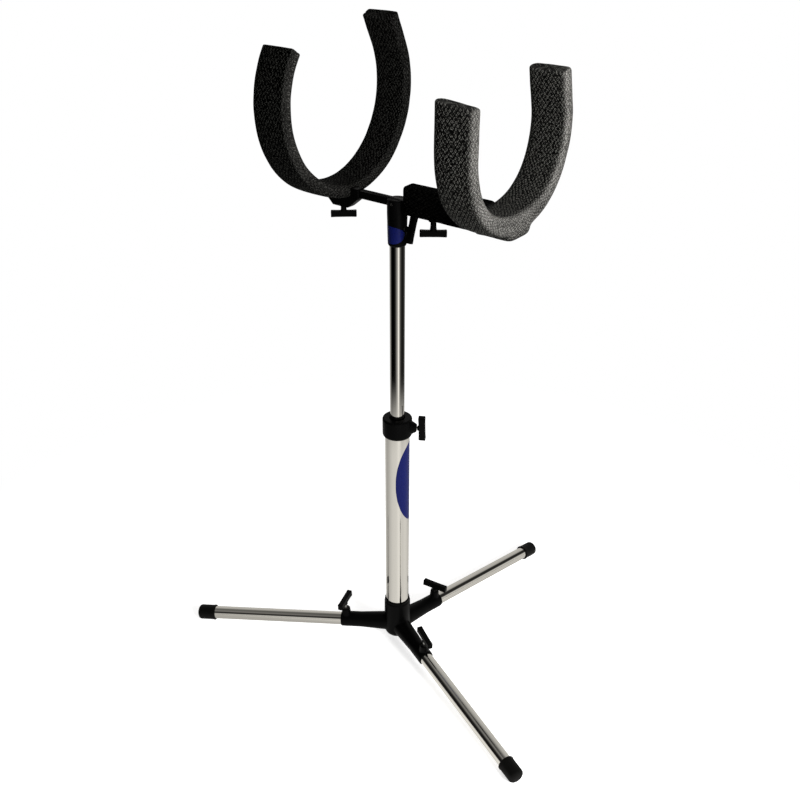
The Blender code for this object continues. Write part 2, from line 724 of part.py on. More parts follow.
def make_cradle(side, x, radius, arms, pad_size, materials):
    """A foam pad over two steel straps, which are welded to the sides of the sleeve."""
    width, thick, edge = pad_size
    centre_z = PAD_BOTTOM_Z + radius
    around = both_ways(*[cradle_path(radius, centre_z, *arms[arm], 0.0, PAD_STATIONS) for arm in ("front", "rear")])
    pad = band(side + "_cradle_pad", x, around, section(width, -thick, 0.0, edge), materials["foam"], TIP_TRIM)
    if side == "right":
        boolean(pad, make_chin(x, width, thick), "UNION")
    strap_outer = (thick - STRAP_THICK) / 2
    reach = SLEEVE_SIDE / 2 + GAP
    start = math.asin(reach / (radius - thick / 2))
    pocket_start = math.asin((reach - CLEAR) / radius)
    outline = section(STRAP_WIDTH, -strap_outer - STRAP_THICK, -strap_outer, 0.0)
    wide = section(STRAP_WIDTH + 2 * GAP, -strap_outer - STRAP_THICK - GAP, -strap_outer + GAP, 0.0)
    for tag, (arc, straight) in arms.items():
        cut, run = (arc, straight - STRAP_SHORT) if straight else (arc - STRAP_SHORT / radius, 0.0)
        pocket_cut, pocket_run = (cut, run + 2 * GAP) if straight else (cut + 2 * GAP / radius, 0.0)
        strap_path = cradle_path(radius, centre_z, cut, run, start, STRAP_STATIONS)
        pocket_path = cradle_path(radius, centre_z, pocket_cut, pocket_run, pocket_start, STRAP_STATIONS)
        if tag == "front":
            strap_path, pocket_path = flipped(strap_path), flipped(pocket_path)
        band(side + "_cradle_arm_" + tag, x, strap_path, outline, materials["black_steel"])
        boolean(pad, band(side + "_slot_" + tag, x, pocket_path, wide), "DIFFERENCE")
    channel_side = SLEEVE_SIDE + 2 * GAP
    low_x = x - width / 2 - CLEAR
    high_x = RIGHT_SLEEVE[1] + GAP if side == "right" else x + width / 2 + CLEAR
    size = (high_x - low_x, channel_side, channel_side)
    channel = rounded_box(side + "_channel", size, ((low_x + high_x) / 2, 0.0, BAR_Z), 0.0)
    boolean(pad, channel, "DIFFERENCE")
    return pad


def make_chin(x, width, thick):
    """The foam under the small cradle. It is rounded all over, but cut square where the long pad meets it."""
    low_x, high_x = x - width / 2 + GAP / 2, x + width / 2 - GAP / 2
    depth = PAD_BOTTOM_Z + thick * 0.9 - SPINE_BOTTOM_Z
    middle_z = SPINE_BOTTOM_Z + depth / 2
    size = (high_x - low_x + CHIN_EDGE, CHIN_WIDTH, depth)
    chin = rounded_box("chin", size, ((low_x + high_x - CHIN_EDGE) / 2, 0.0, middle_z), CHIN_EDGE)
    cut_size = (2 * CHIN_EDGE, CHIN_WIDTH + 2 * GAP, depth + 2 * GAP)
    boolean(chin, rounded_box("chin_cut", cut_size, (low_x - CHIN_EDGE, 0.0, middle_z), 0.0), "DIFFERENCE")
    return chin


def make_spine_pad(materials):
    """The foam along the small cradle's sleeve, where the drum lies. Its top laps over the cradle's inside."""
    middle = ((SPINE[0] + SPINE[1]) / 2, 0.0, (SPINE_TOP_Z + SPINE_BOTTOM_Z) / 2)
    size = (SPINE[1] - SPINE[0], SPINE_WIDTH, SPINE_TOP_Z - SPINE_BOTTOM_Z)
    pad = rounded_box("right_spine_pad", size, middle, SPINE_EDGE, materials["foam"])
    bottom = cradle_path(RIGHT_CRADLE_R, PAD_BOTTOM_Z + RIGHT_CRADLE_R, 2 * SPINE_WIDTH / RIGHT_CRADLE_R, 0.0, 0.0, 6)
    outline = section(RIGHT_PAD_WIDTH + 2 * GAP, -RIGHT_PAD_THICK - GAP, SPINE_DOWN, 0.0)
    boolean(pad, band("cradle_room", RIGHT_CRADLE_X, both_ways(bottom, bottom), outline), "DIFFERENCE")
    side = SLEEVE_SIDE + 2 * GAP
    channel = rounded_box("spine_channel", (size[0] + 2 * CLEAR, side, side), (middle[0], 0.0, BAR_Z), 0.0)
    boolean(pad, channel, "DIFFERENCE")
    notch = rod("spine_notch", SCREW_NOTCH, -SPINE_DOWN - CLEAR, 0.0)
    place(notch, (RIGHT_CLAMP_X, 0.0, SLEEVE_BOTTOM_Z + CLEAR))
    boolean(pad, notch, "DIFFERENCE")
    return pad


def main():
    clear_scene()
    materials = {
        "chrome": make_material("chrome", (0.80, 0.79, 0.77), 0.12, 1.0),
        "plastic": make_material("black_plastic", (0.025, 0.025, 0.027), 0.45),
        "handle": make_material("handle_plastic", (0.022, 0.022, 0.024), 0.50),
        "casting": make_material("black_casting", (0.022, 0.022, 0.025), 0.40),
        "nylon": make_material("nylon", (0.05, 0.05, 0.05), 0.55),
        "rubber": make_material("rubber", (0.03, 0.03, 0.03), 0.75),
        "black_steel": make_material("black_steel", (0.02, 0.02, 0.021), 0.42, 0.2),
        "steel": make_material("zinc_steel", (0.60, 0.60, 0.60), 0.35, 1.0),
        "brass": make_material("brass", (0.72, 0.56, 0.28), 0.35, 1.0),
        "foam": make_material("foam", (0.035, 0.035, 0.036), 0.90),
    }
    leg_frames = {name: make_leg_frame(name, azimuth) for name, azimuth in LEGS.items()}
    make_hub(leg_frames, materials)
    for name, frame in leg_frames.items():
        make_leg(name, frame, materials)
        make_screw(
            "leg_screw_" + name, frame, (LEG_SCREW_AT, 0.0, LEG_R + LEG_SCREW_SLACK[name]), (0.0, 0.0, 0.0),
            LEG_SCREW_REACH, LARGE_HANDLE, neck_length(LEG_SCREW_REACH, LARGE_HANDLE, LEG_BOSS_TOP - LEG_R),
            LEG_HANDLE_TURN[name], materials,
        )
    outward = Matrix.Rotation(BASE_TURN, 3, "Z") @ ALONG_X
    collar_frame = make_empty("collar_frame", (0.0, 0.0, COLLAR_SCREW_Z), outward)
    make_post(collar_frame, materials)
    make_screw(
        "collar_screw", collar_frame, (0.0, 0.0, UPPER_R), (0.0, 0.0, 0.0),
        COLLAR_SCREW_REACH, LARGE_HANDLE, neck_length(COLLAR_SCREW_REACH, LARGE_HANDLE, COLLAR_BOSS_TIP - UPPER_R),
        math.pi / 2 - COLLAR_HANDLE_TURN, materials,
    )
    make_head(materials)
    make_screw(
        "head_screw", None, (UPPER_R, 0.0, HEAD_SCREW_Z), ALONG_X,
        HEAD_SCREW_REACH, SMALL_HANDLE, neck_length(HEAD_SCREW_REACH, SMALL_HANDLE, HEAD_TOP_R - UPPER_R),
        math.pi / 2 - HEAD_HANDLE_TURN, materials,
    )
    left_frame = make_left_carriage(materials)
    make_screw(
        "left_clamp_screw", left_frame, (0.0, 0.0, 0.0), (0.0, 0.0, 0.0),
        LEFT_CLAMP_REACH, SMALL_HANDLE, neck_length(LEFT_CLAMP_REACH, SMALL_HANDLE, LEFT_BOSS_TOP),
        LEFT_HANDLE_TURN, materials,
    )
    right_frame = make_right_carriage(materials)
    make_screw(
        "right_clamp_screw", right_frame, (0.0, 0.0, 0.0), (0.0, 0.0, 0.0),
        RIGHT_CLAMP_REACH, SMALL_HANDLE, neck_length(RIGHT_CLAMP_REACH, SMALL_HANDLE, RIGHT_BOSS_TOP),
        RIGHT_HANDLE_TURN, materials,
    )
    left_pad = (LEFT_PAD_WIDTH, LEFT_PAD_THICK, LEFT_PAD_EDGE)
    make_cradle("left", LEFT_CRADLE_X, LEFT_CRADLE_R, LEFT_ARMS, left_pad, materials)
    right_pad = (RIGHT_PAD_WIDTH, RIGHT_PAD_THICK, RIGHT_PAD_EDGE)
    make_cradle("right", RIGHT_CRADLE_X, RIGHT_CRADLE_R, RIGHT_ARMS, right_pad, materials)
    make_spine_pad(materials)


main()
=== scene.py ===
"""Dresses the hand drum stand: chrome tubes, mouldings, foam cradles and a plain white studio."""

import json
import math

import bmesh
import bpy
import numpy as np
from mathutils import Matrix, Vector, noise


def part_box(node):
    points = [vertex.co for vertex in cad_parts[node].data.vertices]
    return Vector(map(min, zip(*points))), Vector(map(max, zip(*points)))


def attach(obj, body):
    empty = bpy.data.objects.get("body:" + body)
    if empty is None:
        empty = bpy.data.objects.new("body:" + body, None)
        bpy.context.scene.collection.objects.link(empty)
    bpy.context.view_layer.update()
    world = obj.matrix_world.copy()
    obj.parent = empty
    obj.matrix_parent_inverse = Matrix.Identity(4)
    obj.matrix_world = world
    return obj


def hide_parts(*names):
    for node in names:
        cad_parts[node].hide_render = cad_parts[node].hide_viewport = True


bl_info = {
    "name": "Hand Drum Stand",
    "version": (1, 0, 0),
    "blender": (4, 5, 0),
    "location": "3D View > Sidebar > Drum Stand",
    "description": "Builds the visible pieces, finishes and studio of a padded hand drum stand",
    "category": "Object",
}

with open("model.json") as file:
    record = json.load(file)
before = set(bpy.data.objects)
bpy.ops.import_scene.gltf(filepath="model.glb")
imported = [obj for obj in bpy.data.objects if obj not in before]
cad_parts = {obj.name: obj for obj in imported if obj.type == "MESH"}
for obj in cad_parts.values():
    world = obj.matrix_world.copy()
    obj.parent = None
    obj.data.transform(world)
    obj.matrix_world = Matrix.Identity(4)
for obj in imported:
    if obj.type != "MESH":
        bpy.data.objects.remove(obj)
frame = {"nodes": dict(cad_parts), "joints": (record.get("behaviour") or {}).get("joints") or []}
NODES = frame["nodes"]
JOINTS = {joint["name"]: joint for joint in frame["joints"]}
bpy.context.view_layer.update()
LEG_NAMES = ("left", "rear", "front")
SCREW_NAMES = ["leg_screw_" + leg for leg in LEG_NAMES]
SCREW_NAMES += ["collar_screw", "head_screw", "left_clamp_screw", "right_clamp_screw"]
MM = 0.001


def corner_points(mesh):
    """A mesh's corners, as an array of x, y and z."""
    points = np.zeros(len(mesh.vertices) * 3)
    mesh.vertices.foreach_get("co", points)
    return points.reshape(-1, 3)


def corner_normals(mesh):
    normals = np.zeros(len(mesh.vertices) * 3)
    mesh.vertex_normals.foreach_get("vector", normals)
    return normals.reshape(-1, 3)


def move_corners(mesh, points):
    mesh.vertices.foreach_set("co", points.ravel())
    mesh.update()


def measure_along(node, joint):
    """Where a round CAD node starts on a joint's axis, the axis, its length along it and its radius."""
    axis, start = Vector(JOINTS[joint]["axis"]), Vector(JOINTS[joint]["pos_m"])
    points = corner_points(NODES[node].data) - np.array(start)
    reach = points @ np.array(axis)
    radius = float(np.linalg.norm(points - np.outer(reach, np.array(axis)), axis=1).max())
    near, far = float(reach.min()), float(reach.max())
    return start + axis * near, axis, far - near, radius


# Settings

def hex_colour(text):
    """An sRGB hex value as the linear colour that a shader socket takes."""
    parts = [int(text[i : i + 2], 16) / 255 for i in (1, 3, 5)]
    return tuple(c / 12.92 if c <= 0.04045 else ((c + 0.055) / 1.055) ** 2.4 for c in parts)


def colour_setting(name, description, text):
    return bpy.props.FloatVectorProperty(
        name=name, description=description, default=hex_colour(text),
        subtype="COLOR", size=3, min=0.0, max=1.0,
    )


def number_setting(name, description, value, unit="NONE", **limits):
    return bpy.props.FloatProperty(name=name, description=description, default=value, unit=unit, **limits)


def length_setting(name, description, value):
    return number_setting(name, description, value, "LENGTH", min=0.0)


def angle_setting(name, description, degrees):
    return number_setting(name, description, math.radians(degrees), "ROTATION")


class StandColours(bpy.types.PropertyGroup):
    chrome: colour_setting("Chrome", "Chrome plate on the post and legs", "#E4E1DA")
    moulding: colour_setting("Moulding", "Hub and collar mouldings", "#040404")
    handle: colour_setting("Handles", "Clamping handles", "#040404")
    paint: colour_setting("Powder coat", "Head, bar and sliding carriages", "#050505")
    rubber: colour_setting("Rubber", "Foot caps", "#090908")
    foam_low: colour_setting("Foam, hollows", "Foam between its raised diamonds", "#060606")
    foam_high: colour_setting("Foam, tops", "Raised diamonds of the foam", "#A3A39C")
    # Pale colour of the painted highlight on the foam's rounded edges
    foam_edge_highlight: colour_setting("Foam, edges", "Smooth rounded edges of the foam", "#8A8884")
    label: colour_setting("Label", "Blank oval labels", "#0D144C")


class PadSizes(bpy.types.PropertyGroup):
    bottom: length_setting("Underside height", "Height of the cradles' underside above the hub's", 0.697)
    left_width: length_setting("Left width", "Width of the left pad along the bar", 0.048)
    left_thickness: length_setting("Left thickness", "Thickness of the left pad", 0.0160)
    left_edge: length_setting("Left edge", "Radius of the left pad's edges", 0.0028)
    left_seam: length_setting("Left seam", "Depth of the seam between the left pad's two layers", 0.0014)
    left_place: number_setting("Left place", "Middle of the left pad along the bar", -0.0947, "LENGTH")
    left_radius: length_setting("Left radius", "Outer radius of the left cradle", 0.124)
    left_front_arc: angle_setting("Left front arc", "Arc of the left cradle's front arm", 124.8)
    left_rear_arc: angle_setting("Left rear arc", "Arc of the left cradle's rear arm", 115.5)
    left_rear_straight: length_setting("Left rear straight", "Straight end of the left rear arm", 0.039)
    right_width: length_setting("Right width", "Width of the right pad along the bar", 0.053)
    right_thickness: length_setting("Right thickness", "Thickness of the right pad", 0.0175)
    right_edge: length_setting("Right edge", "Radius of the right pad's edges", 0.0084)
    right_place: number_setting("Right place", "Middle of the right pad along the bar", 0.1542, "LENGTH")
    right_radius: length_setting("Right radius", "Outer radius of the right cradle", 0.109)
    right_front_arc: angle_setting("Right front arc", "Arc of the right cradle's front arm", 90.0)
    right_front_straight: length_setting("Right front straight", "Straight end of the right front arm", 0.0555)
    right_rear_arc: angle_setting("Right rear arc", "Arc of the right cradle's rear arm", 104.0)
    right_rear_straight: length_setting("Right rear straight", "Straight end of the right rear arm", 0.039)
    saddle: number_setting("Saddle", "How much thicker the right pad is at the bottom, as a share", 0.58)
    chin_width: length_setting("Chin width", "Width, front to rear, of the foam under the cradle", 0.047)
    chin_front: length_setting("Chin front", "How far the foam under the cradle reaches forward", 0.0195)
    chin_edge: length_setting("Chin edge", "Radius of the edges of the foam under the right cradle", 0.0120)
    slant: length_setting("Slanted end", "How much lower the right front arm ends on its outer side", 0.0050)
    diamond_length: length_setting("Diamond length", "Length of a raised diamond, along the foam", 0.0076)
    diamond_width: length_setting("Diamond width", "Width of a raised diamond, across the foam", 0.0047)


class StudioSettings(bpy.types.PropertyGroup):
    camera_place: bpy.props.FloatVectorProperty(
        name="Camera place", description="Where the camera stands", subtype="TRANSLATION",
        default=(0.738, -0.965, 1.0924),
    )
    camera_tilt: angle_setting("Camera tilt", "Camera's turn up from straight down", 61.0)
    camera_turn: angle_setting("Camera turn", "Camera's turn about the post", 37.4)
    lens: number_setting("Lens", "Focal length in millimetres", 45.0, "CAMERA")
    shift: number_setting("Shift", "Sideways shift of the picture, as a share of its width", 0.00325)
    key_power: number_setting("Key lamp", "Power of the key lamp", 70.0, "POWER")
    fill_power: number_setting("Fill lamp", "Power of the fill lamp", 6.0, "POWER")
    room: number_setting("Room light", "Strength of the light from all round", 0.26)


# Modelling

def deselect():
    if bpy.context.object and bpy.context.object.mode != "OBJECT":
        bpy.ops.object.mode_set(mode="OBJECT")
    bpy.ops.object.select_all(action="DESELECT")


def select_only(*objects):
    deselect()
    for item in objects:
        item.select_set(True)
    bpy.context.view_layer.objects.active = objects[0]


def settle(item, matrix=None):
    """Moves a piece by a matrix and then leaves its object at the origin, with its place in its mesh."""
    if matrix is not None:
        item.matrix_world = matrix @ item.matrix_world
    select_only(item)
    bpy.ops.object.transform_apply(location=True, rotation=True, scale=True)
    return item


def apply_modifier(item, kind, **settings):
    select_only(item)
    modifier = item.modifiers.new(kind.lower(), kind)
    for key, value in settings.items():
        setattr(modifier, key, value)
    bpy.ops.object.modifier_apply(modifier=modifier.name)


def edit_all(item):
    """Opens a piece in edit mode, with all of it selected."""
    select_only(item)
    bpy.ops.object.mode_set(mode="EDIT")
    bpy.ops.mesh.select_all(action="SELECT")


def face_outwards(item):
    """Joins corners that lie in one place, and turns every face outwards."""
    edit_all(item)
    bpy.ops.mesh.remove_doubles(threshold=1e-6)
    bpy.ops.mesh.normals_make_consistent(inside=False)
    bpy.ops.object.mode_set(mode="OBJECT")


def cut_off(item, place, direction):
    """Cuts off what lies beyond a plane, and closes the cut."""
    edit_all(item)
    bpy.ops.mesh.bisect(plane_co=place, plane_no=direction, use_fill=True, clear_outer=True)
    bpy.ops.object.mode_set(mode="OBJECT")


def shade_round(item):
    select_only(item)
    bpy.ops.object.shade_smooth()


def smooth_by_angle(item, degrees=35.0):
    select_only(item)
    bpy.ops.object.shade_smooth_by_angle(angle=math.radians(degrees), keep_sharp_edges=False)


def select_faces(item, test):
    """Selects, in edit mode, only the faces that pass a test."""
    bpy.ops.mesh.select_mode(type="FACE")
    bpy.ops.mesh.select_all(action="DESELECT")
    bm = bmesh.from_edit_mesh(item.data)
    for face in bm.faces:
        face.select_set(test(face))
    bmesh.update_edit_mesh(item.data)


def hand_over(item, name, body, slot, material, *replaced):
    """Names a finished piece, gives it its material, and lets it stand for CAD nodes on a body."""
    item.name = name
    item.data.name = name
    item.data.materials.clear()
    item.data.materials.append(material)
    if replaced:
        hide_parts(*replaced)
    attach(item, body)
    return item


def turned(profile, steps=96):
    """A turned solid on Z, as a disc that is extruded and resized from ring to ring of (radius, height)."""
    deselect()
    radius, height = profile[0]
    bpy.ops.mesh.primitive_circle_add(
        vertices=steps, radius=radius, fill_type="NGON", location=(0.0, 0.0, height), enter_editmode=True
    )
    bpy.ops.mesh.select_all(action="SELECT")
    for new_radius, new_height in profile[1:]:
        bpy.ops.mesh.extrude_region_move(TRANSFORM_OT_translate={"value": (0.0, 0.0, new_height - height)})
        part = new_radius / radius
        bpy.ops.transform.resize(value=(part, part, 1.0), center_override=(0.0, 0.0, new_height))
        radius, height = new_radius, new_height
    bpy.ops.object.mode_set(mode="OBJECT")
    item = bpy.context.object
    settle(item)
    face_outwards(item)
    return item


def along(direction, place):
    """A matrix that lays Z along a direction, at a place."""
    return Matrix.Translation(Vector(place)) @ Vector(direction).to_track_quat("Z", "Y").to_matrix().to_4x4()


def add_box(size, middle, edge):
    """A box with rounded edges."""
    deselect()
    bpy.ops.mesh.primitive_cube_add(size=1.0, location=middle, enter_editmode=True)
    bpy.ops.mesh.select_all(action="SELECT")
    bpy.ops.transform.resize(value=size, center_override=middle)
    bpy.ops.object.mode_set(mode="OBJECT")
    item = settle(bpy.context.object)
    apply_modifier(item, "BEVEL", width=edge, segments=4, limit_method="NONE")
    return item


def soften(node, voxel_mm, passes):
    """A copy of a CAD node, remeshed finely and smoothed so that its corners and joins run together."""
    item = bpy.data.objects.new(node + "_soft", NODES[node].data.copy())
    bpy.context.scene.collection.objects.link(item)
    face_outwards(item)
    apply_modifier(item, "REMESH", mode="VOXEL", voxel_size=voxel_mm * MM, adaptivity=0.0)
    apply_modifier(item, "SMOOTH", factor=0.5, iterations=passes)
    shade_round(item)
    return item


# Materials

def link(node, **sources):
    """Links sources to a node's inputs by name, where an underscore is a space, or by number, as in _1.

    A source is an output socket, or a node whose first output is meant.
    """
    for key, source in sources.items():
        socket = node.inputs[int(key[1:]) if key[0] == "_" else key.replace("_", " ")]
        output = source.outputs[0] if isinstance(source, bpy.types.Node) else source
        node.id_data.links.new(output, socket)


def add_node(tree, kind, settings=None, **sources):
    """Adds a shader node, sets its attributes or inputs, and links its sources."""
    node = tree.nodes.new("ShaderNode" + kind)
    for key, value in (settings or {}).items():
        if isinstance(key, str) and hasattr(node, key):
            setattr(node, key, value)
        else:
            node.inputs[key].default_value = value
    link(node, **sources)
    return node


def noise_scale(size_mm):
    """The scale of a noise texture whose features have a size in millimetres."""
    return 1.0 / (size_mm * MM)


def new_material(name, colour, roughness, metallic=0.0, **sockets):
    material = bpy.data.materials.new(name)
    material.use_nodes = True
    shader = material.node_tree.nodes["Principled BSDF"]
    shader.inputs["Base Color"].default_value = (*colour, 1.0)
    shader.inputs["Roughness"].default_value = roughness
    shader.inputs["Metallic"].default_value = metallic
    for key, value in sockets.items():
        shader.inputs[key.replace("_", " ")].default_value = value
    return material, material.node_tree, shader


def chrome_plate(colours):
    """Bright decorative chrome over drawn steel tube: a hard mirror with a little uneven haze."""
    material, tree, shader = new_material("chrome_plate", colours.chrome, 0.07, 1.0)
    place = add_node(tree, "TexCoord").outputs["Object"]
    haze = add_node(tree, "TexNoise", {"Scale": noise_scale(17.0), "Detail": 4.0}, Vector=place)
    rough = add_node(
        tree, "MapRange", {"From Min": 0.3, "From Max": 0.7, "To Min": 0.05, "To Max": 0.10}, Value=haze
    )
    link(shader, Roughness=rough)
    return material


def grained(name, colour, roughness, grain_mm, depth, **sockets):
    """A moulded or coated surface: an even grain, and slow changes in how it shines.

    The grain is drawn coarser than a real one, so that it shows.
    """
    material, tree, shader = new_material(name, colour, roughness, **sockets)
    place = add_node(tree, "TexCoord").outputs["Object"]
    grain = add_node(tree, "TexNoise", {"Scale": noise_scale(grain_mm), "Detail": 2.0}, Vector=place)
    cloud = add_node(tree, "TexNoise", {"Scale": noise_scale(22.0), "Detail": 3.0}, Vector=place)
    rough = add_node(
        tree, "MapRange",
        {"From Min": 0.3, "From Max": 0.7, "To Min": roughness - 0.07, "To Max": roughness + 0.08},
        Value=cloud,
    )
    bump = add_node(tree, "Bump", {"Strength": depth, "Distance": grain_mm * MM * 0.35}, Height=grain)
    link(shader, Roughness=rough, Normal=bump)
    return material


def diamond_lattice(tree, where, length, width):
    """A value that is 1 in the middle of each staggered diamond and falls to its sides, a little unevenly."""
    jitter = add_node(tree, "TexNoise", {"Scale": 0.9 / width, "Detail": 2.0}, Vector=where)
    bent = add_node(
        tree, "MixRGB", {"blend_type": "LINEAR_LIGHT", "Fac": width * 0.11}, Color1=where,
        Color2=jitter.outputs["Color"],
    )
    waves = []
    for sign in (1.0, -1.0):
        lean = add_node(
            tree, "VectorMath", {"operation": "DOT_PRODUCT", 1: (1.0 / length, sign / width, 0.0)}, _0=bent
        )
        turn = add_node(tree, "Math", {"operation": "MULTIPLY", 1: math.tau}, _0=lean.outputs["Value"])
        waves.append(add_node(tree, "Math", {"operation": "COSINE"}, _0=turn))
    return add_node(tree, "Math", {"operation": "MINIMUM"}, _0=waves[0], _1=waves[1])


def diamond_foam(colours, diamond, name, painted_face_light, painted_edge_light):
    """Closed-cell EVA foam, heat-embossed with staggered diamonds, each with a dimple in its middle.

    It is black, with greyish grains where the raised rings rub. Its rounded edges carry a painted highlight,
    and each pad's faces carry a painted light or shade level of their own. Its finest specks are drawn at
    about 1 mm, so that they show.
    """
    # The foam's shine is scaled by the pad's painted light level too
    material, tree, shader = new_material(name, colours.foam_low, 0.72, Specular_IOR_Level=0.08 * painted_face_light)
    length, width = diamond
    where = add_node(tree, "UVMap", {"uv_map": "run"})
    place = add_node(tree, "TexCoord").outputs["Object"]
    edge = add_node(tree, "Attribute", {"attribute_name": "edge"}).outputs["Fac"]
    inwards = diamond_lattice(tree, where, length, width)
    block = add_node(
        tree, "MapRange", {"From Min": -0.60, "From Max": -0.05, "interpolation_type": "SMOOTHSTEP"},
        Value=inwards,
    )
    dimple = add_node(
        tree, "MapRange",
        {"From Min": 0.1, "From Max": 0.6, "To Min": 1.0, "To Max": 0.0, "interpolation_type": "SMOOTHSTEP"},
        Value=inwards,
    )
    raised = add_node(tree, "Math", {"operation": "MULTIPLY"}, _0=block, _1=dimple)
    grain = add_node(tree, "TexNoise", {"Scale": 1.7 / width, "Detail": 2.0}, Vector=where)
    grain_light = add_node(
        tree, "MapRange", {"From Min": 0.42, "From Max": 0.66, "To Min": 0.0, "To Max": 2.4}, Value=grain
    )
    tops = add_node(tree, "Math", {"operation": "MULTIPLY"}, _0=raised, _1=grain_light)
    # The faces' colours, scaled by the pad's painted light level, so that each pad carries its own painted
    # shade or light
    painted_face_low = [c * painted_face_light for c in colours.foam_low]
    painted_face_high = [c * painted_face_light for c in colours.foam_high]
    face = add_node(tree, "MixRGB", {"Color1": (*painted_face_low, 1.0), "Color2": (*painted_face_high, 1.0)}, Fac=tops)

    # Three things break up the painted highlight on the edges: slow patches, fine specks and the diamonds
    # themselves
    wear = add_node(
        tree, "TexNoise", {"Scale": noise_scale(29.0), "Detail": 5.0, "Roughness": 0.6}, Vector=place
    )
    speck = add_node(tree, "TexNoise", {"Scale": noise_scale(1.1), "Detail": 1.0}, Vector=place)
    rubbed = add_node(
        tree, "MapRange", {"From Min": 0.3, "From Max": 0.7, "To Min": 0.55, "To Max": 1.2}, Value=wear
    )
    speckled = add_node(
        tree, "MapRange", {"From Min": 0.35, "From Max": 0.65, "To Min": 0.5, "To Max": 1.5}, Value=speck
    )
    broken = add_node(
        tree, "MapRange", {"From Min": 0.0, "From Max": 0.8, "To Min": 0.22, "To Max": 1.1}, Value=tops
    )
    # The edge attribute is a painted highlight mask, strongest where the key lamp's light falls
    highlight_mask = edge
    for share in (rubbed, speckled, broken):
        highlight_mask = add_node(tree, "Math", {"operation": "MULTIPLY"}, _0=highlight_mask, _1=share)
    # Colour of the painted edge highlight, scaled by the pad's painted highlight level
    highlight_colour = [c * painted_edge_light for c in colours.foam_edge_highlight]
    mixed = add_node(tree, "MixRGB", {"Color2": (*highlight_colour, 1.0)}, Fac=highlight_mask, Color1=face)

    flat = add_node(tree, "MapRange", {"To Min": 1.0, "To Max": 0.35}, Value=edge)
    shown = add_node(tree, "Math", {"operation": "MULTIPLY"}, _0=raised, _1=flat)
    speck_low = add_node(tree, "Math", {"operation": "MULTIPLY", 1: 0.25}, _0=speck)
    height = add_node(tree, "Math", {"operation": "ADD"}, _0=shown, _1=speck_low)
    bump = add_node(tree, "Bump", {"Strength": 0.9, "Distance": 0.8 * MM}, Height=height)
    link(shader, Base_Color=mixed, Normal=bump)
    return material


def build_materials(context):
    colours = context.scene.stand_colours
    sizes = context.scene.stand_pads
    diamond = (sizes.diamond_length, sizes.diamond_width)
    return {
        "chrome": chrome_plate(colours),
        # Glass-filled polyamide from a spark-eroded mould: near black, half matt, with an even fine grain
        "moulding": grained("moulded_polyamide", colours.moulding, 0.36, 0.9, 0.30, Specular_IOR_Level=0.05),
        "handle": grained("handle_polyamide", colours.handle, 0.42, 0.8, 0.35, Specular_IOR_Level=0.05),
        # Black powder coat on steel: satin, with a soft orange peel
        "paint": grained("powder_coat", colours.paint, 0.32, 1.6, 0.25, Specular_IOR_Level=0.05),
        # Moulded rubber: dull, so that it catches hardly any light
        "rubber": grained("foot_rubber", colours.rubber, 0.60, 0.7, 0.4, Specular_IOR_Level=0.15),
        # One foam, in lit and shaded copies. The last two values are each pad's painted light on its faces and
        # painted highlight on its edges
        "foam_left_painted_shade": diamond_foam(colours, diamond, "embossed_foam_painted_shade_left", 0.13, 0.30),
        "foam_right_painted_light": diamond_foam(colours, diamond, "embossed_foam_painted_light_right", 0.52, 1.85),
        "foam_spine_painted_shade": diamond_foam(colours, diamond, "embossed_foam_painted_shade_spine", 0.03, 0.10),
        # Zinc-plated steel studs, black oxide inserts and black nylon, nearly all hidden
        "zinc": grained("zinc_plated_steel", hex_colour("#B4B4B0"), 0.34, 0.5, 0.2, Metallic=1.0),
        "oxide": grained("black_oxide_steel", hex_colour("#1C1B1A"), 0.40, 0.4, 0.15, Specular_IOR_Level=0.3),
        "nylon": grained("machined_nylon", hex_colour("#2A2A2A"), 0.50, 0.6, 0.2),
        # Vinyl film: one flat colour under a faint gloss
        "label": grained("label_film", colours.label, 0.30, 1.0, 0.1, Specular_IOR_Level=0.12),
    }


MATERIALS = {}


# Pieces of metal, plastic and rubber

class STAND_OT_tubes(bpy.types.Operator):
    """Chrome tubes of the post and legs"""

    bl_idname = "drum_stand.tubes"
    bl_label = "Post and Leg Tubes"

    def execute(self, context):
        upwards = Vector((0.0, 0.0, 1.0))
        for node, body in (("lower_tube", "base"), ("upper_tube", "mast")):
            low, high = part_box(node)
            self.add_tube(node, body, upwards * low.z, upwards, high.z - low.z, high.x)
        for leg in LEG_NAMES:
            node = "leg_" + leg
            self.add_tube(node, leg + "_leg", *measure_along(node, leg + "_leg_slide"))
        return {"FINISHED"}

    def add_tube(self, node, body, place, axis, length, radius):
        """A tube with eased edges, open at both ends only a little way in."""
        wall, edge, opening = 1.4 * MM, 0.4 * MM, 2.0 * MM
        inner = radius - wall
        profile = [
            (inner, opening), (inner, 0.0), (radius - edge, 0.0), (radius, edge),
            (radius, length - edge), (radius - edge, length), (inner, length), (inner, length - opening),
        ]
        item = settle(turned(profile), along(axis, place))
        smooth_by_angle(item)
        hand_over(item, node + "_chrome", body, "chrome", MATERIALS["chrome"], node)


class STAND_OT_mouldings(bpy.types.Operator):
    """Hub, collar, head and left carriage, with the soft corners of moulded and cast pieces"""

    bl_idname = "drum_stand.mouldings"
    bl_label = "Hub, Collar, Head and Carriage"

    # Each CAD node with its piece's name, body, slot and finish, its mesh's spacing in mm and its smoothing
    PIECES = (
        ("hub", "hub_moulding", "base", "black_plastic", "moulding", 0.65, 5),
        ("collar", "collar_moulding", "base", "black_plastic", "moulding", 0.40, 6),
        ("head", "head_casting", "crosshead", "black_casting", "paint", 0.40, 5),
        ("left_carriage", "left_sleeve", "left_cradle", "black_steel", "paint", 0.40, 3),
    )

    def execute(self, context):
        for node, name, body, slot, finish, voxel_mm, passes in self.PIECES:
            hand_over(soften(node, voxel_mm, passes), name, body, slot, MATERIALS[finish], node)
        return {"FINISHED"}


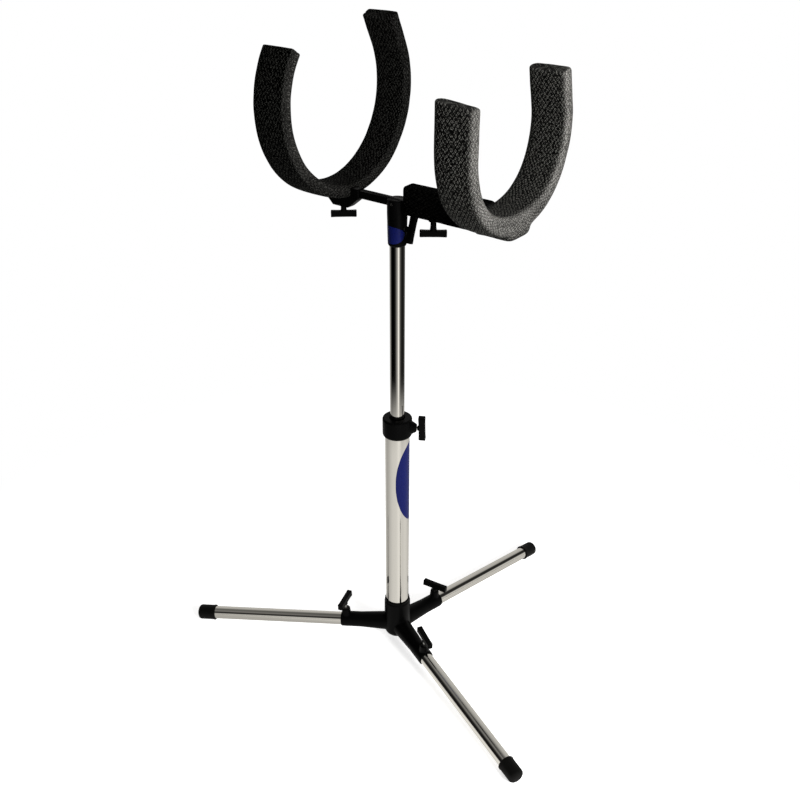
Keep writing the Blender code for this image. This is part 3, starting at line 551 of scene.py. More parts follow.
class STAND_OT_handles(bpy.types.Operator):
    """The seven T-shaped clamping handles, each a rounded bar on a flared neck"""

    bl_idname = "drum_stand.handles"
    bl_label = "Clamping Handles"

    # A handle longer than this has the taller bar
    LONG = 37 * MM
    TALL_BAR, LOW_BAR = 10.0 * MM, 8.6 * MM
    # The bar's middle: its share of the length, and of the solid's width and the bar's height
    MIDDLE_SHARE, MIDDLE_WIDTH, MIDDLE_HEIGHT = 0.55, 1.12, 0.94
    # How much larger the bar's ends are than its middle
    END_GROWTH = 1.06
    # The neck's radius at its foot, how far it spreads along the bar, and what it leaves free across it
    NECK_RADIUS, NECK_SPREAD, NECK_MARGIN = 3.7 * MM, 3.0 * MM, 0.3 * MM

    def execute(self, context):
        for name in SCREW_NAMES:
            joint = JOINTS[name + "_turn"]
            axis, start = np.array(joint["axis"]), np.array(joint["pos_m"])
            points = corner_points(NODES[name + "_handle"].data) - start
            height = points @ axis
            flat = points - np.outer(height, axis)
            away = np.linalg.norm(flat, axis=1)
            # The bar's ends lie farthest from the screw, and show which way it points
            ends = flat[away > 0.7 * away.max()]
            spread = np.linalg.eigh(ends.T @ ends)[1][:, -1]
            side = np.cross(axis, spread)
            length, width = float(np.ptp(ends @ spread)), float(np.ptp(ends @ side))
            item = self.add_handle(length, width, float(height.min()), float(height.max()))
            turn = Matrix([spread.tolist(), side.tolist(), axis.tolist()]).transposed().to_4x4()
            settle(item, Matrix.Translation(Vector(start)) @ turn)
            face_outwards(item)
            shade_round(item)
            hand_over(item, name + "_grip", name, "handle_plastic", MATERIALS["handle"], name + "_handle")
        return {"FINISHED"}

    def add_handle(self, length, width, low, top):
        """A bar that swells a little to its ends, joined to a neck that spreads into it."""
        tall = self.TALL_BAR if length > self.LONG else self.LOW_BAR
        middle = top - tall / 2
        deselect()
        bpy.ops.mesh.primitive_cube_add(size=1.0, location=(0.0, 0.0, middle), enter_editmode=True)
        bpy.ops.mesh.select_all(action="SELECT")
        size = (length * self.MIDDLE_SHARE, width * self.MIDDLE_WIDTH, tall * self.MIDDLE_HEIGHT)
        bpy.ops.transform.resize(value=size, center_override=(0.0, 0.0, middle))
        bar = bpy.context.object
        for side in (-1.0, 1.0):
            select_faces(bar, lambda face, side=side: face.normal.x * side > 0.9)
            step = side * length * (1.0 - self.MIDDLE_SHARE) / 2
            bpy.ops.mesh.extrude_region_move(TRANSFORM_OT_translate={"value": (step, 0.0, 0.0)})
            end = (side * length / 2, 0.0, middle)
            bpy.ops.transform.resize(value=(1.0, self.END_GROWTH, self.END_GROWTH), center_override=end)
        bpy.ops.mesh.select_all(action="SELECT")
        bpy.ops.mesh.bevel(offset=1.0 * MM, segments=2, affect="EDGES")
        bpy.ops.object.mode_set(mode="OBJECT")
        neck = self.add_neck(low, middle + tall * 0.2, width)
        select_only(bar, neck)
        bpy.ops.object.join()
        settle(bar)
        apply_modifier(bar, "REMESH", mode="VOXEL", voxel_size=0.38 * MM, adaptivity=0.0)
        apply_modifier(bar, "SMOOTH", factor=0.5, iterations=4)
        return bar

    def add_neck(self, low, high, width):
        """A round foot that spreads along the bar, and stays within the bar's width across it."""
        foot = self.NECK_RADIUS
        bpy.ops.mesh.primitive_circle_add(
            vertices=40, radius=foot, fill_type="NGON", location=(0.0, 0.0, low), enter_editmode=True
        )
        bpy.ops.mesh.select_all(action="SELECT")
        rings = 8
        step = (high - low) / rings
        last = (foot, foot)
        for i in range(1, rings + 1):
            part = (i / rings) ** 3
            reach = (foot + self.NECK_SPREAD * part, foot + (width / 2 - self.NECK_MARGIN - foot) * part)
            bpy.ops.mesh.extrude_region_move(TRANSFORM_OT_translate={"value": (0.0, 0.0, step)})
            growth = (reach[0] / last[0], reach[1] / last[1], 1.0)
            bpy.ops.transform.resize(value=growth, center_override=(0.0, 0.0, low + step * i))
            last = reach
        bpy.ops.object.mode_set(mode="OBJECT")
        neck = bpy.context.object
        settle(neck)
        face_outwards(neck)
        return neck


class STAND_OT_feet(bpy.types.Operator):
    """Rubber caps on the legs' ends, each with a rolled lip and a flat tread where it meets the floor"""

    bl_idname = "drum_stand.feet"
    bl_label = "Foot Caps"

    def execute(self, context):
        for leg in LEG_NAMES:
            node = "foot_cap_" + leg
            place, axis, length, radius = measure_along(node, leg + "_leg_slide")
            item = settle(turned(self.cap_outline(length, radius), 64), along(axis, place))
            cut_off(item, (0.0, 0.0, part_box(node)[0].z), (0.0, 0.0, -1.0))
            face_outwards(item)
            smooth_by_angle(item, 28.0)
            hand_over(item, node + "_rubber", leg + "_leg", "rubber", MATERIALS["rubber"], node)
        return {"FINISHED"}

    def cap_outline(self, length, radius):
        """A rolled lip round the leg, a plain side and a domed end, as pairs of (radius, height)."""
        inner, side = radius - 1.8 * MM, radius - 0.5 * MM
        dome = 6.0 * MM
        outline = [
            (inner, 2.0 * MM), (inner, 0.0), (radius - 0.6 * MM, 0.0), (radius, 0.5 * MM), (radius, 2.2 * MM),
            (side, 3.2 * MM), (side, length - dome),
        ]
        for i in range(1, 9):
            a = math.radians(11.0 * i)
            outline.append((side * math.cos(a) ** 0.75, length - dome + dome * math.sin(a)))
        return outline


class STAND_OT_bar(bpy.types.Operator):
    """The square cross bar, with the small corner radii of drawn steel"""

    bl_idname = "drum_stand.bar"
    bl_label = "Cross Bar"

    def execute(self, context):
        low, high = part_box("bar")
        item = add_box(high - low, (high + low) / 2, 0.9 * MM)
        smooth_by_angle(item, 40.0)
        hand_over(item, "bar_steel", "crosshead", "black_steel", MATERIALS["paint"], "bar")
        return {"FINISHED"}


class STAND_OT_labels(bpy.types.Operator):
    """Plain oval film labels, wrapped round the head and the lower tube"""

    bl_idname = "drum_stand.labels"
    bl_label = "Blank Labels"

    # Each label with its body, the piece below it, its middle's direction and half its arc in degrees, and
    # the heights of its lower and upper end
    LABELS = (
        ("head_label", "crosshead", "head_casting", -104.0, 100.0, (0.6500, 0.6735)),
        ("tube_label", "base", "lower_tube_chrome", 37.4, 98.0, (0.2204, 0.3560)),
    )
    # The oval is drawn this far from the post's axis, clear of both pieces, before it is pressed on
    CLEAR_RADIUS = 22 * MM
    FILM_THICKNESS, FILM_GAP = 0.15 * MM, 0.1 * MM

    def execute(self, context):
        for label in self.LABELS:
            self.add_label(*label)
        return {"FINISHED"}

    def add_label(self, name, body, under, turn, half_turn, heights):
        """An oval of film: a grid drawn into a disc, wrapped round the post and pressed onto a piece."""
        deselect()
        bpy.ops.mesh.primitive_grid_add(x_subdivisions=72, y_subdivisions=24, size=2.0)
        item = settle(bpy.context.object)
        flat = corner_points(item.data)
        across = flat[:, 0] * np.sqrt(1.0 - flat[:, 1] ** 2 / 2.0)
        up = flat[:, 1] * np.sqrt(1.0 - flat[:, 0] ** 2 / 2.0)
        angle = np.radians(turn + across * half_turn)
        height = heights[0] + (up + 1.0) / 2.0 * (heights[1] - heights[0])
        radius = self.CLEAR_RADIUS
        move_corners(item.data, np.stack([radius * np.cos(angle), radius * np.sin(angle), height], axis=1))
        face_outwards(item)
        target = bpy.data.objects[under]
        apply_modifier(item, "SHRINKWRAP", target=target, offset=self.FILM_GAP, wrap_mode="OUTSIDE_SURFACE")
        apply_modifier(item, "SOLIDIFY", thickness=self.FILM_THICKNESS, offset=-1.0)
        face_outwards(item)
        smooth_by_angle(item, 50.0)
        hand_over(item, name, body, None, MATERIALS["label"])


# Foam

def arm_run(radius, centre_z, arc, straight, spacing=0.003):
    """Points of one arm from the bottom to its tip: y, z, and the outward direction there."""
    count = max(2, round(radius * arc / spacing))
    run = []
    for i in range(count + 1):
        a = arc * i / count
        run.append((radius * math.sin(a), centre_z - radius * math.cos(a), math.sin(a), -math.cos(a)))
    y, z, out_y, out_z = run[-1]
    extra = round(straight / spacing)
    for i in range(1, extra + 1):
        step = straight * i / extra
        run.append((y - out_z * step, z + out_y * step, out_y, out_z))
    return run


# Half the width of the seam's groove, as a share of the pad's thickness
SEAM_SPREAD = 0.07
# How much the sides swell, as a share of the faces' swell
SIDE_CROWN = 0.3


def pad_section(width, thickness, edge, crown, steps=5, across=10, through=4, seam=0.0, seam_place=0.5):
    """A closed loop of (place across, height above the outer face), with rounded corners and crowned faces.

    A seam is a shallow groove along both sides, where two layers of foam meet. Its place is a share of the
    thickness, from the outer face.
    """
    half = width / 2
    loop = []

    def line(start, end, count, bulge, outward):
        for i in range(1, count):
            part = i / count
            lift = bulge * 4 * part * (1 - part)
            if outward[0]:
                depth = -(start[1] + (end[1] - start[1]) * part) / thickness
                lift -= seam * math.exp(-(((depth - seam_place) / SEAM_SPREAD) ** 2))
            loop.append((
                start[0] + (end[0] - start[0]) * part + outward[0] * lift,
                start[1] + (end[1] - start[1]) * part + outward[1] * lift,
            ))

    def corner(cx, cy, first):
        for i in range(steps + 1):
            a = first + math.pi / 2 * i / steps
            loop.append((cx + edge * math.cos(a), cy + edge * math.sin(a)))

    low, high = -thickness, 0.0
    corner(half - edge, high - edge, 0.0)
    line((half - edge, high), (-half + edge, high), across, crown, (0.0, 1.0))
    corner(-half + edge, high - edge, math.pi / 2)
    line((-half, high - edge), (-half, low + edge), through, crown * SIDE_CROWN, (-1.0, 0.0))
    corner(-half + edge, low + edge, math.pi)
    line((-half + edge, low), (half - edge, low), across, crown, (0.0, -1.0))
    corner(half - edge, low + edge, 3 * math.pi / 2)
    line((half, low + edge), (half, high - edge), through, crown * SIDE_CROWN, (1.0, 0.0))
    return loop


# How far up a cradle its thicker bottom reaches, in radians
SADDLE_SPREAD = 0.65


def sweep_pad(name, x, run, loop, tip, saddle=0.0):
    """Skins the loop along the run, and rounds both cut tips over a short length.

    A saddle is how much thicker the foam is at the bottom, as a share of its thickness.
    """
    bm = bmesh.new()
    middle = sum(depth for _, depth in loop) / len(loop)
    width, thick = max(across for across, _ in loop), -middle

    def ring(station, scale, shift):
        y, z, out_y, out_z = station
        from_bottom = math.acos(max(-1.0, min(1.0, -out_z)))
        thicker = 1.0 + saddle * math.exp(-((from_bottom / SADDLE_SPREAD) ** 2))
        points = []
        for across, depth in loop:
            out = (middle + (depth - middle) * scale[1]) * thicker
            points.append(bm.verts.new((
                x + across * scale[0], y + out_y * out - out_z * shift, z + out_z * out + out_y * shift,
            )))
        return points

    def tip_ring(station, degrees, direction):
        a = math.radians(degrees)
        inset = tip * (1 - math.cos(a))
        return ring(station, (1 - inset / width, 1 - inset / thick), direction * tip * math.sin(a))

    rings = [tip_ring(run[0], degrees, -1.0) for degrees in (90.0, 60.0, 30.0)]
    rings += [ring(station, (1.0, 1.0), 0.0) for station in run]
    rings += [tip_ring(run[-1], degrees, 1.0) for degrees in (30.0, 60.0, 90.0)]
    count = len(loop)
    for near, far in zip(rings, rings[1:]):
        for i in range(count):
            j = (i + 1) % count
            bm.faces.new((near[i], near[j], far[j], far[i]))
    bm.faces.new(rings[0])
    bm.faces.new(rings[-1])
    bmesh.ops.recalc_face_normals(bm, faces=bm.faces)
    mesh = bpy.data.meshes.new(name)
    bm.to_mesh(mesh)
    bm.free()
    item = bpy.data.objects.new(name, mesh)
    bpy.context.scene.collection.objects.link(item)
    return item


def cradle_run(radius, centre_z, front, rear):
    """Points of both arms, from the front tip round the bottom to the rear tip."""
    front_run = [(-y, z, -out_y, out_z) for y, z, out_y, out_z in arm_run(radius, centre_z, *front)]
    return front_run[:0:-1] + arm_run(radius, centre_z, *rear)


def press_foam(item, swell=0.5 * MM, wave=22.0):
    """Lets the foam's surface rise and sink slowly, as cut sheet does, with finer and weaker waves on top."""
    points, normals = corner_points(item.data), corner_normals(item.data)
    lift = [noise.noise(Vector(p) * wave) + 0.5 * noise.noise(Vector(p) * (wave * 2.7)) for p in points]
    move_corners(item.data, points + normals * (np.array(lift) * swell)[:, None])


# How strongly the painted highlight on the foam's rounded edges shows, as places and strengths: over the width
# of an edge, from the outer to the inner face as a share of the thickness, from the front to the rear, and
# from the bottom up
HIGHLIGHT_OVER_EDGE = ((0.0, 0.30, 0.75, 1.0), (0.0, 0.15, 1.0, 0.6))
HIGHLIGHT_THROUGH = ((-1.0, 0.0, 0.5, 1.0), (0.10, 0.42, 1.0, 0.85))
HIGHLIGHT_TO_REAR = (-0.050, 0.080)
HIGHLIGHT_UPWARDS = ((0.0, 0.045), (0.60, 1.0))
# And on the side towards -X, which is left in painted shade, and at the cut tips
HIGHLIGHT_ON_SHADED_LEFT = 0.2
HIGHLIGHT_AT_TIPS = 0.08
# Corners handled at a time, to spare memory
BATCH = 4000


def mark_run(item, x, run, half_width, thickness, edge, rear_share):
    """Stores how far along the foam and how far round it each corner lies, and how strongly the painted edge
    highlight shows.
    """
    mesh = item.data
    points = corner_points(mesh)
    line = np.array([(y, z) for y, z, _, _ in run])
    tangents = np.gradient(line, axis=0)
    tangents /= np.linalg.norm(tangents, axis=1)[:, None]
    outwards = np.array([(out_y, out_z) for _, _, out_y, out_z in run])
    lengths = np.concatenate([[0.0], np.cumsum(np.linalg.norm(np.diff(line, axis=0), axis=1))])
    run_at = np.zeros(len(points))
    depth = np.zeros(len(points))
    for start in range(0, len(points), BATCH):
        part = slice(start, start + BATCH)
        places = points[part, 1:]
        near = ((places[:, None, :] - line[None, :, :]) ** 2).sum(axis=2).argmin(axis=1)
        away = places - line[near]
        run_at[part] = lengths[near] + (away * tangents[near]).sum(axis=1)
        depth[part] = -(away * outwards[near]).sum(axis=1)
    across = points[:, 0] - x
    # A painted highlight on the rounded edges, brightest on the side towards +X, where the key lamp's light
    # falls
    highlight_mask = np.interp((np.abs(across) - (half_width - edge)) / edge, *HIGHLIGHT_OVER_EDGE)
    highlight_mask *= np.where(across > 0.0, 1.0, HIGHLIGHT_ON_SHADED_LEFT) * np.interp(depth / thickness, *HIGHLIGHT_THROUGH)
    highlight_mask *= np.interp(points[:, 1], HIGHLIGHT_TO_REAR, (1.0, rear_share))
    highlight_mask *= np.interp(points[:, 2] - line[:, 1].min(), *HIGHLIGHT_UPWARDS)
    past_tip = np.maximum(-run_at, run_at - lengths[-1])
    tips = HIGHLIGHT_AT_TIPS * np.clip((past_tip + 0.6 * MM) / MM, 0.0, 1.0)
    round_at = unroll_section(mesh, x, across, depth, half_width, thickness)
    store_run(mesh, run_at, round_at, np.maximum(highlight_mask, tips))


def loop_corners(mesh):
    """Which of the mesh's corners each corner of each face is."""
    corners = np.zeros(len(mesh.loops), np.int32)
    mesh.loops.foreach_get("vertex_index", corners)
    return corners


def unroll_section(mesh, x, across, depth, half_width, thickness):
    """How far round the section the faces' corners lie: over the outer face, down a side and back."""
    corners = loop_corners(mesh)
    middles = np.zeros(len(mesh.polygons) * 3)
    mesh.polygons.foreach_get("center", middles)
    counts = np.zeros(len(mesh.polygons), np.int32)
    mesh.polygons.foreach_get("loop_total", counts)
    faces = np.repeat(np.arange(len(counts)), counts)
    side = np.sign(middles[::3] - x)[faces]
    deep = np.bincount(faces, weights=(depth[corners] > thickness / 2).astype(float))
    inner = (deep * 2 > counts)[faces]
    past_side = side * across[corners] - half_width
    return side * (half_width + depth[corners] + np.where(inner, -past_side, past_side))


def store_run(mesh, run_at, round_at, edge):
    """Stores the places along and round the foam as a UV map, and how strongly its painted edge highlight
    shows.
    """
    mesh.attributes.new("edge", "FLOAT", "POINT").data.foreach_set("value", edge.astype(np.float32))
    places = np.stack([run_at[loop_corners(mesh)], round_at], axis=1).astype(np.float32)
    mesh.uv_layers.new(name="run").data.foreach_set("uv", places.ravel())


def slant_tip(item, x, tip, width, drop, reach=0.030):
    """Lowers the outer side of an arm's tip, so that its end is cut at a slant."""
    points = corner_points(item.data)
    y, z, out_y, out_z = tip
    down = np.array((0.0, -out_z, out_y))
    below = (points - np.array((x, y, z))) @ down
    near = (np.abs(points[:, 1] - y) < width) & (below < reach)
    part = np.clip(1.0 - below / reach, 0.0, 1.0)
    part = part * part * (3 - 2 * part)
    across = np.clip((points[:, 0] - x) / width + 0.5, 0.0, 1.0)
    move_corners(item.data, points + np.where(near, part * across * drop, 0.0)[:, None] * down)


class STAND_OT_left_pad(bpy.types.Operator):
    """The left cradle's foam pad"""

    bl_idname = "drum_stand.left_pad"
    bl_label = "Left Cradle Pad"

    def execute(self, context):
        sizes = context.scene.stand_pads
        place, width = sizes.left_place, sizes.left_width
        thickness, edge = sizes.left_thickness, sizes.left_edge
        run = cradle_run(
            sizes.left_radius, sizes.bottom + sizes.left_radius,
            (sizes.left_front_arc, 0.0), (sizes.left_rear_arc, sizes.left_rear_straight),
        )
        loop = pad_section(width, thickness, edge, 0.5 * MM, through=14, seam=sizes.left_seam, seam_place=0.6)
        item = sweep_pad("left_pad_foam", place, run, loop, 1.5 * MM)
        apply_modifier(item, "SUBSURF", levels=1, render_levels=1)
        press_foam(item)
        mark_run(item, place, run, width / 2, thickness, edge, 0.25)
        shade_round(item)
        # The left pad takes the darker copy of the foam, with painted shade
        hand_over(item, "left_pad_foam", "left_cradle", "foam", MATERIALS["foam_left_painted_shade"], "left_cradle_pad")
        return {"FINISHED"}


class STAND_OT_right_pads(bpy.types.Operator):
    """The right cradle's foam pad, and the long pad beside it along the bar"""

    bl_idname = "drum_stand.right_pads"
    bl_label = "Right Cradle Pad and Long Pad"

    def execute(self, context):
        sizes = context.scene.stand_pads
        place, width = sizes.right_place, sizes.right_width
        thickness, edge = sizes.right_thickness, sizes.right_edge
        run = cradle_run(
            sizes.right_radius, sizes.bottom + sizes.right_radius,
            (sizes.right_front_arc, sizes.right_front_straight),
            (sizes.right_rear_arc, sizes.right_rear_straight),
        )
        loop = pad_section(width, thickness, edge, 0.6 * MM)
        item = sweep_pad("right_pad_foam", place, run, loop, 2.2 * MM, sizes.saddle)
        select_only(item, self.add_chin(sizes))
        bpy.ops.object.join()
        apply_modifier(item, "REMESH", mode="VOXEL", voxel_size=1.1 * MM, adaptivity=0.0)
        apply_modifier(item, "SMOOTH", factor=0.5, iterations=6)
        self.blend_chin(item, sizes)
        press_foam(item)
        mark_run(item, place, run, width / 2, thickness, edge, 0.9)
        slant_tip(item, place, run[0], width, sizes.slant)
        shade_round(item)
        # The right pad takes the lit copy of the foam, with painted light and a bright painted edge highlight
        hand_over(item, "right_pad_foam", "right_cradle", "foam", MATERIALS["foam_right_painted_light"], "right_cradle_pad")
        self.add_long_pad()
        return {"FINISHED"}

    def add_chin(self, sizes):
        """The foam under the cradle: rounded all over, but cut square where the long pad meets it."""
        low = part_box("right_cradle_pad")[0]
        left = sizes.right_place - sizes.right_width / 2
        depth = sizes.bottom + sizes.right_thickness * 0.7 - low.z
        size = (sizes.right_width + sizes.chin_edge, sizes.chin_width, depth)
        rear_shift = sizes.chin_width / 2 - sizes.chin_front
        middle = Vector((sizes.right_place - sizes.chin_edge / 2, rear_shift, low.z + depth / 2))
        chin = add_box(size, middle, sizes.chin_edge)
        cut_off(chin, (left, 0.0, 0.0), (-1.0, 0.0, 0.0))
        return chin

    def blend_chin(self, item, sizes):
        """Runs the foam under the cradle into its arms, except at its square side."""
        points = corner_points(item.data)
        left = sizes.right_place - sizes.right_width / 2
        # Full effect from 8 mm above the cradle's underside down, and from 14 mm inside its square side on
        low_share = np.clip((sizes.bottom + 22 * MM - points[:, 2]) / (14 * MM), 0.0, 1.0)
        side_share = np.clip((points[:, 0] - left - 4 * MM) / (10 * MM), 0.0, 1.0)
        share = low_share * side_share
        group = item.vertex_groups.new(name="chin")
        for i in np.nonzero(share > 0.01)[0]:
            group.add([int(i)], float(share[i]), "REPLACE")
        apply_modifier(item, "SMOOTH", factor=0.5, iterations=90, vertex_group="chin")
        item.vertex_groups.clear()

    def add_long_pad(self):
        """The long pad keeps its solid's shape, with its edges rubbed round and its faces a little uneven."""
        low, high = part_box("right_spine_pad")
        item = soften("right_spine_pad", 0.9, 4)
        press_foam(item, 0.4 * MM, 25.0)
        points, normals = corner_points(item.data), corner_normals(item.data)
        past_end = np.abs(points[:, 0] - (high.x + low.x) / 2) - (high.x - low.x) / 2
        across = np.where(np.abs(normals[:, 2]) > 0.7, points[:, 1], points[:, 2])
        # A painted highlight on the pad's two ends, fading over 2 mm inwards
        edge = np.clip(past_end / (2 * MM) + 1.0, 0.0, 1.0)
        store_run(item.data, points[:, 0], across[loop_corners(item.data)], edge)
        # The long pad takes the darkest copy of the foam, with deep painted shade
        hand_over(item, "right_spine_foam", "right_cradle", "foam", MATERIALS["foam_spine_painted_shade"], "right_spine_pad")


class STAND_OT_hidden(bpy.types.Operator):
    """Finishes for the small and hidden pieces whose solids are already right"""

    bl_idname = "drum_stand.hidden"
    bl_label = "Studs, Inserts and Inner Pieces"

    def execute(self, context):
        finishes = {
            "stud": "zinc", "bar_pin": "zinc", "insert": "oxide", "collar_bush": "nylon",
            "guide_plug": "nylon", "cradle_arm": "paint", "right_carriage": "paint",
        }
        for name, node in NODES.items():
            for word, finish in finishes.items():
                if word in name and not node.hide_render:
                    node.data.materials.clear()
                    node.data.materials.append(MATERIALS[finish])
        return {"FINISHED"}


# Studio

def set_ramp(ramp, stops):
    """Fills a colour ramp with warm whites, from pairs of place and value."""
    ramp.elements.remove(ramp.elements[1])
    for i, (place, value) in enumerate(stops):
        element = ramp.elements[0] if i == 0 else ramp.elements.new(place)
        element.position = place
        element.color = (value, value * 0.985, value * 0.95, 1.0)


def turn_share(tree, split):
    """How far round the post a place or a direction lies, from 0 at -180 degrees from +X to 1 at 180."""
    turn = add_node(tree, "Math", {"operation": "ARCTAN2"}, _0=split.outputs["Y"], _1=split.outputs["X"])
    return add_node(tree, "MapRange", {"From Min": -math.pi, "From Max": math.pi}, Value=turn)


def turn_stops(stops):
    """Stops of a ramp in degrees round the post, as shares of the turn."""
    return [((degrees + 180) / 360, value) for degrees, value in stops]


class STAND_OT_stage(bpy.types.Operator):
    """White floor and surround, two soft lamps, and the camera"""

    bl_idname = "drum_stand.stage"
    bl_label = "Studio and Camera"

    # Distances from the post over which the paper round it gives way to the far floor
    PAPER_EDGE = (0.57, 0.91)
    # Light of its own that the paper near the post has in the picture, so that its shadows stay faint
    PAPER_GLOW = 0.66
    # How light the floor is in the metal, near and far. Degrees are round the post from +X
    NEAR_FLOOR = (
        (-180, 0.66), (-174, 0.50), (-171, 0.20), (-167, 0.46), (-143, 0.50), (-119, 0.64), (-98, 0.74),
        (-60, 0.80), (-40, 0.95), (-10, 0.72), (30, 0.80), (60, 0.68), (90, 0.60), (130, 0.55), (170, 0.66),
    )
    FAR_FLOOR = (
        (-180, 0.34), (-165, 0.12), (-150, 0.001), (-95, 0.001), (-78, 0.04), (-62, 0.24), (-46, 0.50),
        (-31, 1.35), (-16, 0.22), (2, 0.05), (20, 0.013), (41, 0.010), (67, 0.04), (100, 0.07), (130, 0.40),
    )
    # How light the walls and ceiling are in the metal, in degrees above the floor
    RIGHT_WALL = (
        (0, 0.62), (17, 0.66), (23, 0.05), (38, 0.018), (54, 0.035), (63, 0.09), (71, 0.17), (80, 0.07),
        (90, 0.06),
    )
    FAR_WALL = ((0, 0.60), (25, 0.58), (42, 0.52), (54, 0.40), (62, 0.24), (73, 0.05), (90, 0.06))
    LEFT_WALL = (
        (0, 0.005), (26, 0.005), (34, 0.02), (42, 0.06), (49, 0.15), (55, 0.24), (70, 0.12), (90, 0.06),
    )
    # Where round the post the far and the left wall lie
    FAR_SECTOR = ((-180, 0.3), (-168, 0.0), (70, 0.0), (92, 1.0), (160, 1.0), (178, 0.3))
    LEFT_SECTOR = ((-180, 0.6), (-168, 1.0), (-96, 1.0), (-78, 0.0), (160, 0.0), (178, 0.6))

    def execute(self, context):
        settings = context.scene.stand_studio
        self.add_camera(context, settings)
        self.add_floor()
        self.add_world(context)
        self.add_lamp("key_lamp", (2.0, -0.55, 1.25), (0.05, 0.0, 0.60), 0.9, settings.key_power)
        self.add_lamp("fill_lamp", (-0.6, 1.4, 2.2), (0.0, 0.0, 0.45), 1.2, settings.fill_power)
        context.scene.view_settings.view_transform = "Standard"
        return {"FINISHED"}

    def add_camera(self, context, settings):
        data = bpy.data.cameras.new("studio_camera")
        data.sensor_width = 36.0
        data.lens = settings.lens
        data.shift_x = settings.shift
        data.clip_start = 0.05
        camera = bpy.data.objects.new("studio_camera", data)
        context.scene.collection.objects.link(camera)
        camera.location = settings.camera_place
        camera.rotation_euler = (settings.camera_tilt, 0.0, settings.camera_turn)
        context.scene.camera = camera

    def add_floor(self):
        """White paper, evenly light in the picture. Metal sees it in tones of its own, near and far."""
        height = min(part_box("foot_cap_" + leg)[0].z for leg in LEG_NAMES)
        deselect()
        bpy.ops.mesh.primitive_plane_add(size=12.0, location=(0.0, 0.0, height))
        floor = settle(bpy.context.object)
        floor.name = "studio_floor"
        material, tree, shader = new_material("paper_floor", hex_colour("#FFFFFF"), 0.9)
        rays = add_node(tree, "LightPath")
        split = add_node(tree, "SeparateXYZ", _0=add_node(tree, "TexCoord").outputs["Object"])
        flat = add_node(tree, "CombineXYZ", _0=split.outputs["X"], _1=split.outputs["Y"])
        away = add_node(tree, "VectorMath", {"operation": "LENGTH"}, _0=flat).outputs["Value"]
        near_edge, far_edge = self.PAPER_EDGE
        beyond = add_node(
            tree, "MapRange",
            {"From Min": near_edge, "From Max": far_edge, "interpolation_type": "SMOOTHSTEP"}, Value=away,
        )
        glow = add_node(tree, "Emission", {"Strength": self.PAPER_GLOW})
        near = add_node(tree, "AddShader", _0=shader, _1=glow)
        white = add_node(tree, "Emission", {"Strength": 1.0})
        paper = add_node(tree, "MixShader", _0=beyond, _1=near, _2=white)
        seen = add_node(tree, "MixShader", _0=rays.outputs["Is Camera Ray"], _1=shader, _2=paper)
        tones = []
        for stops in (self.NEAR_FLOOR, self.FAR_FLOOR):
            ramp = add_node(tree, "ValToRGB", _0=turn_share(tree, split))
            set_ramp(ramp.color_ramp, turn_stops(stops))
            tones.append(ramp)
        tone = add_node(tree, "MixRGB", Fac=beyond, Color1=tones[0], Color2=tones[1])
        mirrored = add_node(tree, "Emission", {"Strength": 1.0}, Color=tone)
        mix = add_node(tree, "MixShader", _0=rays.outputs["Is Glossy Ray"], _1=seen, _2=mirrored)
        link(tree.nodes["Material Output"], Surface=mix)
        floor.data.materials.append(material)

    def add_world(self, context):
        """A soft white room. Metal sees its lit walls and dark ceiling, which give chrome its contrast."""
        world = bpy.data.worlds.new("white_studio")
        context.scene.world = world
        world.use_nodes = True
        tree = world.node_tree
        rays = add_node(tree, "LightPath")
        soft = tree.nodes["Background"]
        soft.inputs["Color"].default_value = (1.0, 0.985, 0.96, 1.0)
        soft.inputs["Strength"].default_value = context.scene.stand_studio.room
        split = add_node(tree, "SeparateXYZ", _0=add_node(tree, "TexCoord").outputs["Generated"])
        walls = []
        for stops in (self.RIGHT_WALL, self.FAR_WALL, self.LEFT_WALL):
            ramp = add_node(tree, "ValToRGB", _0=split.outputs["Z"])
            set_ramp(ramp.color_ramp, [(math.sin(math.radians(degrees)), value) for degrees, value in stops])
            walls.append(ramp)
        tone = walls[0]
        for wall, sector in ((walls[1], self.FAR_SECTOR), (walls[2], self.LEFT_SECTOR)):
            share = add_node(tree, "ValToRGB", _0=turn_share(tree, split))
            set_ramp(share.color_ramp, turn_stops(sector))
            tone = add_node(tree, "MixRGB", Fac=share, Color1=tone, Color2=wall)
        room = add_node(tree, "Background", {"Strength": 1.0}, Color=tone)
        glossy = add_node(tree, "MixShader", _0=rays.outputs["Is Glossy Ray"], _1=soft, _2=room)
        white = add_node(tree, "Background", {"Color": (1.0, 1.0, 1.0, 1.0), "Strength": 1.0})
        mix = add_node(tree, "MixShader", _0=rays.outputs["Is Camera Ray"], _1=glossy, _2=white)
        link(tree.nodes["World Output"], Surface=mix)

    def add_lamp(self, name, place, aim, size, power):
        data = bpy.data.lights.new(name, "AREA")
        data.shape = "DISK"
        data.size = size
        data.energy = power
        lamp = bpy.data.objects.new(name, data)
        bpy.context.scene.collection.objects.link(lamp)
        lamp.location = place
        lamp.rotation_euler = (Vector(aim) - Vector(place)).to_track_quat("-Z", "Y").to_euler()
        # The lamp's own shape stays out of the chrome
        lamp.visible_glossy = False


# Add-on

class STAND_PT_panel(bpy.types.Panel):
    """Lists the stand's settings and the steps that build it"""

    bl_label = "Hand Drum Stand"
    bl_idname = "STAND_PT_panel"
    bl_space_type = "VIEW_3D"
    bl_region_type = "UI"
    bl_category = "Drum Stand"

    def draw(self, context):
        for group in (context.scene.stand_colours, context.scene.stand_pads, context.scene.stand_studio):
            for key in group.__annotations__:
                self.layout.prop(group, key)
        for operator in OPERATORS:
            self.layout.operator(operator.bl_idname)


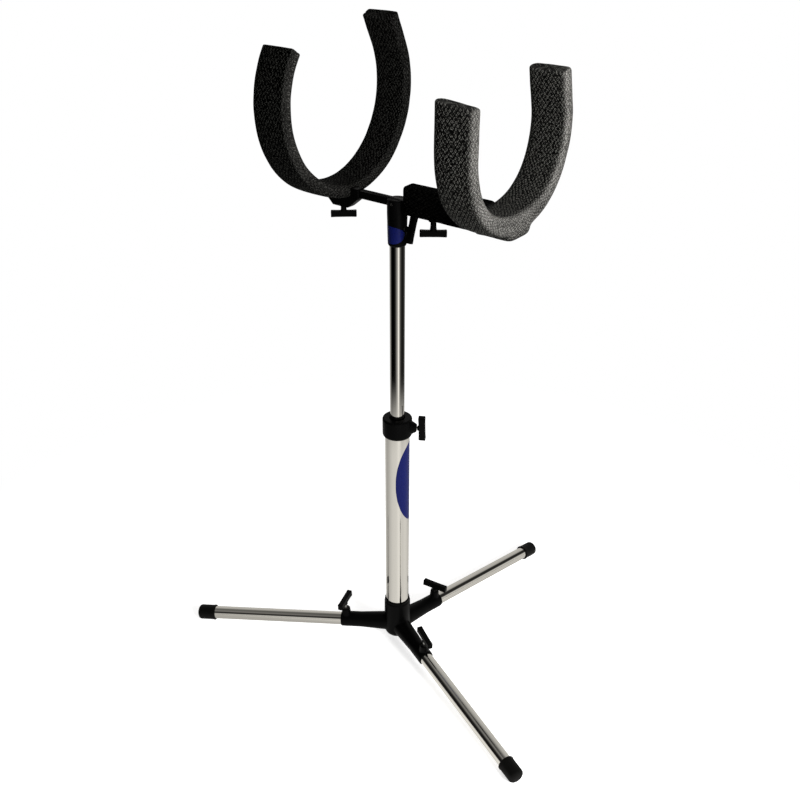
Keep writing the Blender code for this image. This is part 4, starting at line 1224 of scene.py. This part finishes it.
GROUPS = (StandColours, PadSizes, StudioSettings)
OPERATORS = (
    STAND_OT_stage, STAND_OT_tubes, STAND_OT_mouldings, STAND_OT_handles, STAND_OT_feet, STAND_OT_bar,
    STAND_OT_labels, STAND_OT_left_pad, STAND_OT_right_pads, STAND_OT_hidden,
)


def register():
    for item in GROUPS + OPERATORS + (STAND_PT_panel,):
        bpy.utils.register_class(item)
    bpy.types.Scene.stand_colours = bpy.props.PointerProperty(type=StandColours)
    bpy.types.Scene.stand_pads = bpy.props.PointerProperty(type=PadSizes)
    bpy.types.Scene.stand_studio = bpy.props.PointerProperty(type=StudioSettings)


def unregister():
    del bpy.types.Scene.stand_colours
    del bpy.types.Scene.stand_pads
    del bpy.types.Scene.stand_studio
    for item in reversed(GROUPS + OPERATORS + (STAND_PT_panel,)):
        bpy.utils.unregister_class(item)


def main():
    register()
    MATERIALS.update(build_materials(bpy.context))
    for operator in OPERATORS:
        group, name = operator.bl_idname.split(".")
        getattr(getattr(bpy.ops, group), name)()
    bpy.context.view_layer.update()


if __name__ == "__main__":
    main()
